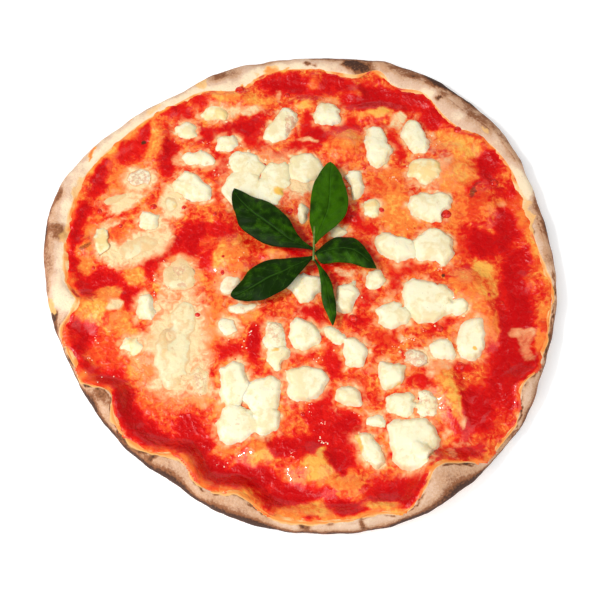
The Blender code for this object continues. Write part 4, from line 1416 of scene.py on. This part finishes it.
    def _shape(self, mesh: bpy.types.Mesh, sauce: Sauce, melt: Melt) -> Array:
        """Makes a piece uneven, sinks it into the sauce and writes its fields.

        Args:
            mesh: The softened form.
            sauce: What it lies on.
            melt: How far it has melted.

        Returns:
            Places round its margin.
        """
        points = places(mesh)
        lumps = self.lump_rise * noise(points, self.lump_size, 41)
        lumps += self.curd_rise * noise(points, self.curd_size, 42)
        points = points + normals(mesh) * lumps[:, None]
        outward = normals(mesh)[:, :2]
        points[:, :2] = wander(points, self.wobble_size, self.wobble, 43) + self.swell * outward
        points[:, :2] = wander(points, self.tear_size, self.tear, 45)
        bed = sauce.top(points)
        above = np.maximum(points[:, 2] - bed, 0.0)
        low = points[:, 2] - bed < self.rim_height * above.max()
        lean = np.abs(normals(mesh)[:, 2])
        rim = low & (lean <= max(self.rim_lean, np.quantile(lean[low], 0.1)))
        inward = gaps_between(points, points[rim])
        inward -= self.bite * (0.2 + noise(points[:, :2], self.bite_size, 46))
        inward -= self.notch_depth * spotted(points, self.notches, 0.4)
        share = np.clip(inward / self.slope[melt], 0.0, 1.0)
        settled = self.flatten[melt] * (1.0 - spotted(points, self.groups, 0.4))
        slumped = settled * above * share * (2.0 - share)
        points[:, 2] += slumped - above - self.sink
        place(mesh, points)
        rise = points[:, 2] - bed
        soaked = self.stain_height * (1.0 + 0.8 * noise(points, 7.0, 47))
        mark(mesh, "stain", 1.0 - ease(rise / soaked))
        spots = wander(points, 5.0, 1.2, 44)
        mark(mesh, "gold", spotted(spots, self.gold, 0.5))
        mark(mesh, "pores", spotted(spots, self.pores, 0.5))
        return points[np.abs(rise) < self.margin_height]

    def build_all(self, sauce: Sauce) -> Array:
        """Makes and dresses every piece.

        Args:
            sauce: What they lie on.

        Returns:
            Places round the margins of all of them.
        """
        finishes = {melt: finish.material() for melt, finish in CHEESE_FINISHES.items()}
        margins = []
        for number in range(1, self.count + 1):
            thing, margin = self.build(number, sauce)
            settle(thing, "cheese", finishes[self._melt(number)], f"mozzarella_{number:02d}")
            margins.append(margin)
        return np.concatenate(margins)


# ---------------------------------------------------------------- the basil


STATIONS = (0.0, 0.12, 0.25, 0.4, 0.55, 0.7, 0.85, 1.0)


def flowing(values: Sequence[float], share: float) -> float:
    """A smooth curve through values at the leaf's stations.

    Args:
        values: One for each station.
        share: Share of the way along the leaf.

    Returns:
        The value there.
    """
    last = len(STATIONS) - 2
    gap = min(last, max(0, int(np.searchsorted(STATIONS, share, side="right")) - 1))
    before, after = values[max(0, gap - 1)], values[min(last + 1, gap + 2)]
    start, end = values[gap], values[gap + 1]
    part = (share - STATIONS[gap]) / (STATIONS[gap + 1] - STATIONS[gap])
    rise = (end - before) / 2.0
    fall = (after - start) / 2.0
    square, cube = part * part, part**3
    return (
        start * (2.0 * cube - 3.0 * square + 1.0) + rise * (cube - 2.0 * square + part)
        + end * (3.0 * square - 2.0 * cube) + fall * (cube - square)
    )


@dataclass(frozen=True)
class Leaf:
    """One leaf: its foot and tip, how far its edges are from the line between them, and its looks."""

    foot: tuple[float, float, float]
    tip: tuple[float, float, float]
    right: tuple[float, ...]
    left: tuple[float, ...]
    arch: float
    shade: float
    point: float = 0.6
    curl: float = 0.0
    root: float = 0.7
    bluntness: float = 0.15

    def edges(self, share: float) -> tuple[float, float]:
        """The right and left edge at a share of the way to its tip."""
        blunt = min(1.0, ((1.0 - share) / self.bluntness)) ** self.point
        at = min(share, STATIONS[-2])
        sides = ((-self.root, self.right), (self.root, self.left))
        right, left = (flowing((side, *edge, edge[-1]), at) for side, edge in sides)
        return right * blunt, left * blunt


@dataclass
class Basil:
    """The sprig of basil."""

    leaves: tuple[Leaf, ...] = (
        Leaf(
            (9.3, 11, 13.3), (-43, 56, 11.8),
            (0.0, -2.0, -6.2, -7.2, -6.0, -2.8), (5.6, 12.4, 17.3, 18.9, 17.9, 11.8),
            3.0, 0.25,
        ),
        Leaf(
            (9.4, 15, 13.8), (20, 76, 11.8),
            (-5.0, -11.5, -16.0, -16.2, -13.6, -9.2), (2.9, 6.0, 7.3, 8.2, 8.0, 5.8),
            2.5, 0.72,
        ),
        Leaf(
            (9.1, 7, 12.7), (-43, -19, 10.0),
            (-2.8, -6.2, -9.6, -11.6, -10.2, -5.8), (3.6, 7.2, 11.4, 12.6, 12.6, 9.0),
            2.5, 0.16, 0.55, 1.2,
        ),
        Leaf(
            (9.2, 9, 13.0), (48, -1, 11.4),
            (-5.0, -4.4, -2.2, -1.0, -1.1, -1.2), (9.0, 14.0, 16.0, 16.4, 13.8, 8.3),
            2.5, 0.32, 0.9,
        ),
        Leaf(
            (9.1, 5, 12.5), (20, -39, 10.8),
            (0.5, 0.3, -0.5, -2.0, -2.3, -1.3), (2.6, 5.2, 6.4, 6.1, 5.6, 4.2),
            1.0, 0.5, 0.8,
        ),
    )
    steps: int = 64
    ribs: int = 28
    thickness: float = 0.45
    droop: float = 2.4
    ripple: float = 0.5
    quilt: float = 0.35
    stem_radius: float = 0.8
    stem_taper: float = 0.7

    def _leaf(self, number: int, leaf: Leaf) -> bpy.types.Object:
        """Makes one leaf.

        Args:
            number: Of the leaf.
            leaf: Its sizes.

        Returns:
            The leaf with its fields.
        """
        bm = bmesh.new()
        along = bm.verts.layers.float.new("along")
        aside = bm.verts.layers.float.new("aside")
        bmesh.ops.create_grid(bm, x_segments=self.steps, y_segments=self.ribs, size=1.0)
        foot, tip = Vector(leaf.foot), Vector(leaf.tip)
        line = tip - foot
        sideways = Vector((-line.y, line.x, 0.0)).normalized()
        for vert in bm.verts:
            share, across = (vert.co.x + 1.0) / 2.0, vert.co.y
            vert[along], vert[aside] = share, across
            right, left = leaf.edges(share)
            half = (left - right) / 2.0
            bow = math.sin(math.pi * share)
            spot = foot + line * share + sideways * ((left + right) / 2.0 + across * half)
            full = min(1.0, half / 9.0)
            droop = self.droop * across * across * full
            phase = math.pi * (share * 7.0 - abs(across) * 1.7)
            quilting = self.quilt * abs(math.cos(phase)) * full * (1.0 - across**4)
            groove = 0.5 * math.exp(-((across * half / 0.9) ** 2)) * full
            wave = self.ripple * math.sin(share * 21.0 + number * 2.0 + across) * across * across * full
            curl = leaf.curl * max(0.0, across) ** 3 * full * 2.0
            vert.co = spot + Vector((0.0, 0.0, leaf.arch * bow - droop + quilting - groove + wave + curl))
        bmesh.ops.remove_doubles(bm, verts=bm.verts[:], dist=0.01)
        grown = bmesh.ops.extrude_face_region(bm, geom=bm.faces[:])["geom"]
        moved = [part for part in grown if isinstance(part, bmesh.types.BMVert)]
        bmesh.ops.translate(bm, vec=Vector((0.0, 0.0, self.thickness)), verts=moved)
        thing = finish_mesh(f"basil_leaf_{number}", bm)
        mark(thing.data, "shade", np.full(len(thing.data.vertices), leaf.shade))
        return thing

    def _stem(self) -> bpy.types.Object:
        """Makes the short stem."""
        low, high = Vector((8.4, 4.0, 12.6)), Vector((9.2, 27.0, 14.8))
        line = high - low
        bm = bmesh.new()
        thick, thin = self.stem_radius, self.stem_radius * self.stem_taper
        bmesh.ops.create_cone(bm, cap_ends=True, segments=16, radius1=thick, radius2=thin, depth=line.length)
        upright = [edge for edge in bm.edges if abs(edge.verts[0].co.z - edge.verts[1].co.z) > thick]
        bmesh.ops.subdivide_edges(bm, edges=upright, cuts=8)
        turned = line.to_track_quat("Z", "Y").to_matrix()
        bmesh.ops.rotate(bm, cent=Vector(), matrix=turned, verts=bm.verts[:])
        bmesh.ops.translate(bm, vec=(low + high) / 2.0, verts=bm.verts[:])
        return finish_mesh("basil_stem", bm)

    def build_all(self) -> None:
        """Makes and dresses the leaves and the stem."""
        finish = LeafFinish().material()
        for number, leaf in enumerate(self.leaves, start=1):
            thing = self._leaf(number, leaf)
            settle(thing, "basil", finish, *(["basil_sprig"] if number == 1 else []))
        stalk = BitFinish("basil_stalk", paint(118, 136, 62), paint(78, 102, 34), 0.4, 2.5)
        settle(self._stem(), "basil", stalk.material())


# ---------------------------------------------------------------- small bits


@dataclass
class Scatter:
    """Milkfat beads, coloured near white as painted glints, and curd crumbs and tomato pulp that lie between
    the toppings.
    """

    curds: int = 90
    pulp: int = 50
    seed: int = 7
    half_width: tuple[float, float] = (0.35, 0.6)
    half_height: tuple[float, float] = (0.2, 0.35)
    dent_size: float = 1.3
    dent_depth: float = 0.18
    stray: float = 2.5
    reach: float = 138.0
    chunks: tuple[tuple[float, float, float], ...] = (
        (94.5, 41.0, 9.5), (-42.0, 136.0, 7.5), (-9.0, 133.0, 5.0), (107.0, 103.0, 6.0), (86.0, -39.0, 6.0),
        (97.0, -63.0, 7.0), (-6.0, 43.0, 5.0), (35.0, 37.0, 6.0), (-96.0, 46.0, 5.0), (33.0, -32.0, 7.0),
        (128.0, 62.0, 6.0),
    )
    glint_clusters: tuple[Blot, ...] = (
        Blot(62, 67, 8, 6, 0, 9), Blot(-63, 95, 8, 6, 0, 9), Blot(-38, 6, 4, 14, -25, 6),
        Blot(-86, 7, 3, 3, 0, 2), Blot(-93, -4, 6, 3, -40, 4), Blot(-31, -42, 4, 16, -25, 8),
        Blot(-33, -51, 3, 4, 0, 3), Blot(13, -110, 7, 10, 0, 10), Blot(-5, -117, 4, 8, 0, 6),
        Blot(13, -98, 5, 4, 0, 4), Blot(5, -90, 10, 16, 0, 8), Blot(91, 2, 10, 6, 20, 12),
        Blot(31, -9, 8, 5, -20, 6), Blot(-125, -45, 4, 8, 10, 5), Blot(-128, -58, 3, 10, 0, 4),
        Blot(-8, -67, 3, 6, 0, 4), Blot(12, -58, 9, 6, 0, 6), Blot(27, -61, 4, 5, 0, 3),
        Blot(66, -45, 14, 5, 10, 12), Blot(52, 24, 6, 4, 0, 4), Blot(76, -41, 4, 4, 0, 3),
        Blot(100, -71, 6, 3, 0, 3), Blot(-90, -22, 3, 18, 10, 6), Blot(-60, -44, 3, 5, 0, 3),
        Blot(60, -51, 8, 5, 0, 5), Blot(88, 101, 6, 5, 0, 5), Blot(92, 93, 8, 8, 0, 6),
        Blot(-150, 42, 3, 8, 0, 4), Blot(-118, -72, 14, 6, 0, 4), Blot(-55, 70, 8, 5, 0, 5),
        Blot(32, -93, 6, 4, 0, 3), Blot(-45, -122, 8, 5, 0, 4),
    )

    def _bits(
        self,
        name: str,
        spots: Sequence[tuple[float, ...]],
        sizes: tuple[float, float],
        sauce: Sauce,
        lift: float,
    ) -> bpy.types.Object:
        """Makes many small lumps as one piece.

        Args:
            name: Of the piece.
            spots: Where they lie, and how large those are that aren't left to chance.
            sizes: Smallest and largest, across.
            sauce: What they lie on.
            lift: Share of a lump's height that stands out of the sauce.

        Returns:
            The piece.
        """
        dice = random.Random(self.seed + len(name))
        bm = bmesh.new()
        heights = sauce.top(np.array([spot[:2] for spot in spots]))
        for (x, y, *given), height in zip(spots, heights):
            size = given[0] if given else dice.uniform(*sizes) * dice.uniform(0.7, 1.0)
            halves = (self.half_width, self.half_width, self.half_height)
            shape = Vector(tuple(size * dice.uniform(*half) for half in halves))
            turn = Matrix.Rotation(dice.uniform(0.0, math.tau), 4, "Z")
            spot = Matrix.Translation(Vector((x, y, height + shape.z * (2.0 * lift - 1.0))))
            matrix = spot @ turn @ Matrix.Diagonal(shape).to_4x4()
            bmesh.ops.create_icosphere(bm, subdivisions=2, radius=1.0, matrix=matrix)
        thing = finish_mesh(name, bm)
        points = places(thing.data)
        points += normals(thing.data) * (self.dent_depth * noise(points, self.dent_size, 51))[:, None]
        place(thing.data, points)
        return thing

    def build_all(self, sauce: Sauce, margins: Array) -> None:
        """Makes and dresses the bits.

        Args:
            sauce: What they lie on.
            margins: Places round the mozzarella, where most crumbs lie.
        """
        dice = random.Random(self.seed)
        near = [margins[dice.randrange(len(margins))] for _ in range(self.curds)]
        crumbs = [(x + dice.gauss(0.0, self.stray), y + dice.gauss(0.0, self.stray)) for x, y, _ in near]
        glints = []
        for cluster in self.glint_clusters:
            turn = math.radians(cluster.turn)
            for _ in range(int(cluster.level)):
                along, across = dice.gauss(0.0, cluster.long / 4.0), dice.gauss(0.0, cluster.wide / 4.0)
                east, north = math.cos(turn), math.sin(turn)
                x = cluster.x + along * east - across * north
                y = cluster.y + along * north + across * east
                glints.append((x, y))
        # Painted glints: glossy milkfat beads coloured near white where the sauce shines.
        glint_fat = BitFinish("milk_fat_painted_glint", paint(255, 240, 214), paint(252, 206, 170), 0.08, 0.9)
        settle(self._bits("fat_beads", glints, (0.4, 1.3), sauce, 0.3), "cheese", glint_fat.material())
        curd = BitFinish("curd_crumb", paint(250, 226, 180), paint(240, 180, 130), 0.32)
        settle(self._bits("curd_crumbs", crumbs, (0.9, 2.6), sauce, 0.45), "cheese", curd.material())
        lumps: list[tuple[float, ...]] = list(self.chunks)
        while len(lumps) < self.pulp:
            reach, turn = self.reach * math.sqrt(dice.random()), dice.uniform(0.0, math.tau)
            lumps.append((reach * math.cos(turn), reach * math.sin(turn)))
        flesh = BitFinish("tomato_pulp", paint(232, 50, 24), paint(196, 12, 10), 0.18)
        settle(self._bits("tomato_pulp", lumps, (1.4, 5.0), sauce, 0.3), "tomato", flesh.material())


# ---------------------------------------------------------------- the studio


@dataclass(frozen=True)
class Lamp:
    """A soft square light, at a bearing, an angle above the floor and a distance from the pizza."""

    name: str
    turn: float
    rise: float
    far: float
    size: float
    power: float

    def build(self) -> None:
        """Adds it."""
        data = bpy.data.lights.new(self.name, "AREA")
        data.energy = self.power
        data.size = self.size
        thing = bpy.data.objects.new(self.name, data)
        turn, rise = math.radians(self.turn), math.radians(self.rise)
        flat = math.cos(rise) * self.far
        spot = Vector((flat * math.cos(turn), flat * math.sin(turn), self.far * math.sin(rise)))
        thing.location = spot
        thing.rotation_euler = (-spot).to_track_quat("-Z", "Y").to_euler()
        bpy.context.scene.collection.objects.link(thing)


@dataclass
class Studio:
    """A pale floor, soft light and the camera."""

    floor_side: float = 4.0
    floor_colour: Colour = (0.97, 0.97, 0.97, 1.0)
    floor_glow: float = 0.2
    floor_gap: float = 0.2 * MM
    elevation: float = 68.0
    distance: float = 0.52
    target: tuple[float, float, float] = (0.00143, -0.02138, 0.006)
    lens: float = 50.0
    sensor: float = 36.0
    ambient: float = 0.17
    white: Colour = (1.0, 1.0, 1.0, 1.0)
    floor_shade: Colour = (0.95, 0.95, 0.95, 1.0)
    lamps: tuple[Lamp, ...] = (
        Lamp("key", 215.0, 48.0, 1.2, 1.0, 9.8), Lamp("fill", 330.0, 42.0, 1.3, 1.2, 8.0),
        Lamp("back", 90.0, 24.0, 1.3, 0.8, 1.6), Lamp("glint", 190.0, 52.0, 0.9, 0.08, 3.0),
    )

    def _floor(self) -> None:
        """Makes the floor."""
        bm = bmesh.new()
        below = Matrix.Translation((0.0, 0.0, -self.floor_gap))
        bmesh.ops.create_grid(bm, x_segments=1, y_segments=1, size=self.floor_side / 2.0, matrix=below)
        mesh = bpy.data.meshes.new("floor")
        bm.to_mesh(mesh)
        bm.free()
        floor = bpy.data.objects.new("floor", mesh)
        bpy.context.scene.collection.objects.link(floor)
        graph = Graph("pale_floor")
        tone = graph.noise(300.0, 2.0)
        colour = graph.mix(tone * 0.1, self.floor_colour, self.floor_shade)
        mesh.materials.append(graph.surface(
            Base_Color=colour, Roughness=0.9, Specular_IOR_Level=0.1, Emission_Color=self.white,
            Emission_Strength=self.floor_glow,
        ))

    def _camera(self) -> None:
        """Adds the camera."""
        data = bpy.data.cameras.new("camera")
        data.lens = self.lens
        data.sensor_width = self.sensor
        camera = bpy.data.objects.new("camera", data)
        rise = math.radians(self.elevation)
        away = Vector((0.0, -math.cos(rise), math.sin(rise)))
        camera.location = Vector(self.target) + away * self.distance
        camera.rotation_euler = away.to_track_quat("Z", "Y").to_euler()
        bpy.context.scene.collection.objects.link(camera)
        bpy.context.scene.camera = camera

    def build(self) -> None:
        """Sets it all up."""
        self._camera()
        self._floor()
        for lamp in self.lamps:
            lamp.build()
        world = bpy.data.worlds.new("studio")
        world.use_nodes = True
        backdrop = world.node_tree.nodes["Background"]
        backdrop.inputs["Color"].default_value = self.white
        backdrop.inputs["Strength"].default_value = self.ambient
        bpy.context.scene.world = world
        bpy.context.scene.view_settings.view_transform = "Standard"


def main() -> None:
    """Builds the pizza's looks from the table up."""
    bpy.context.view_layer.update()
    Studio().build()
    sauce = Sauce()
    crust = Crust()
    crust.dress(crust.build())
    skin = sauce.build()
    margins = Mozzarella().build_all(sauce)
    sauce.write_fields(skin, margins)
    sauce.dress(skin)
    Basil().build_all()
    Scatter().build_all(sauce, margins)


if __name__ == "__main__":
    main()
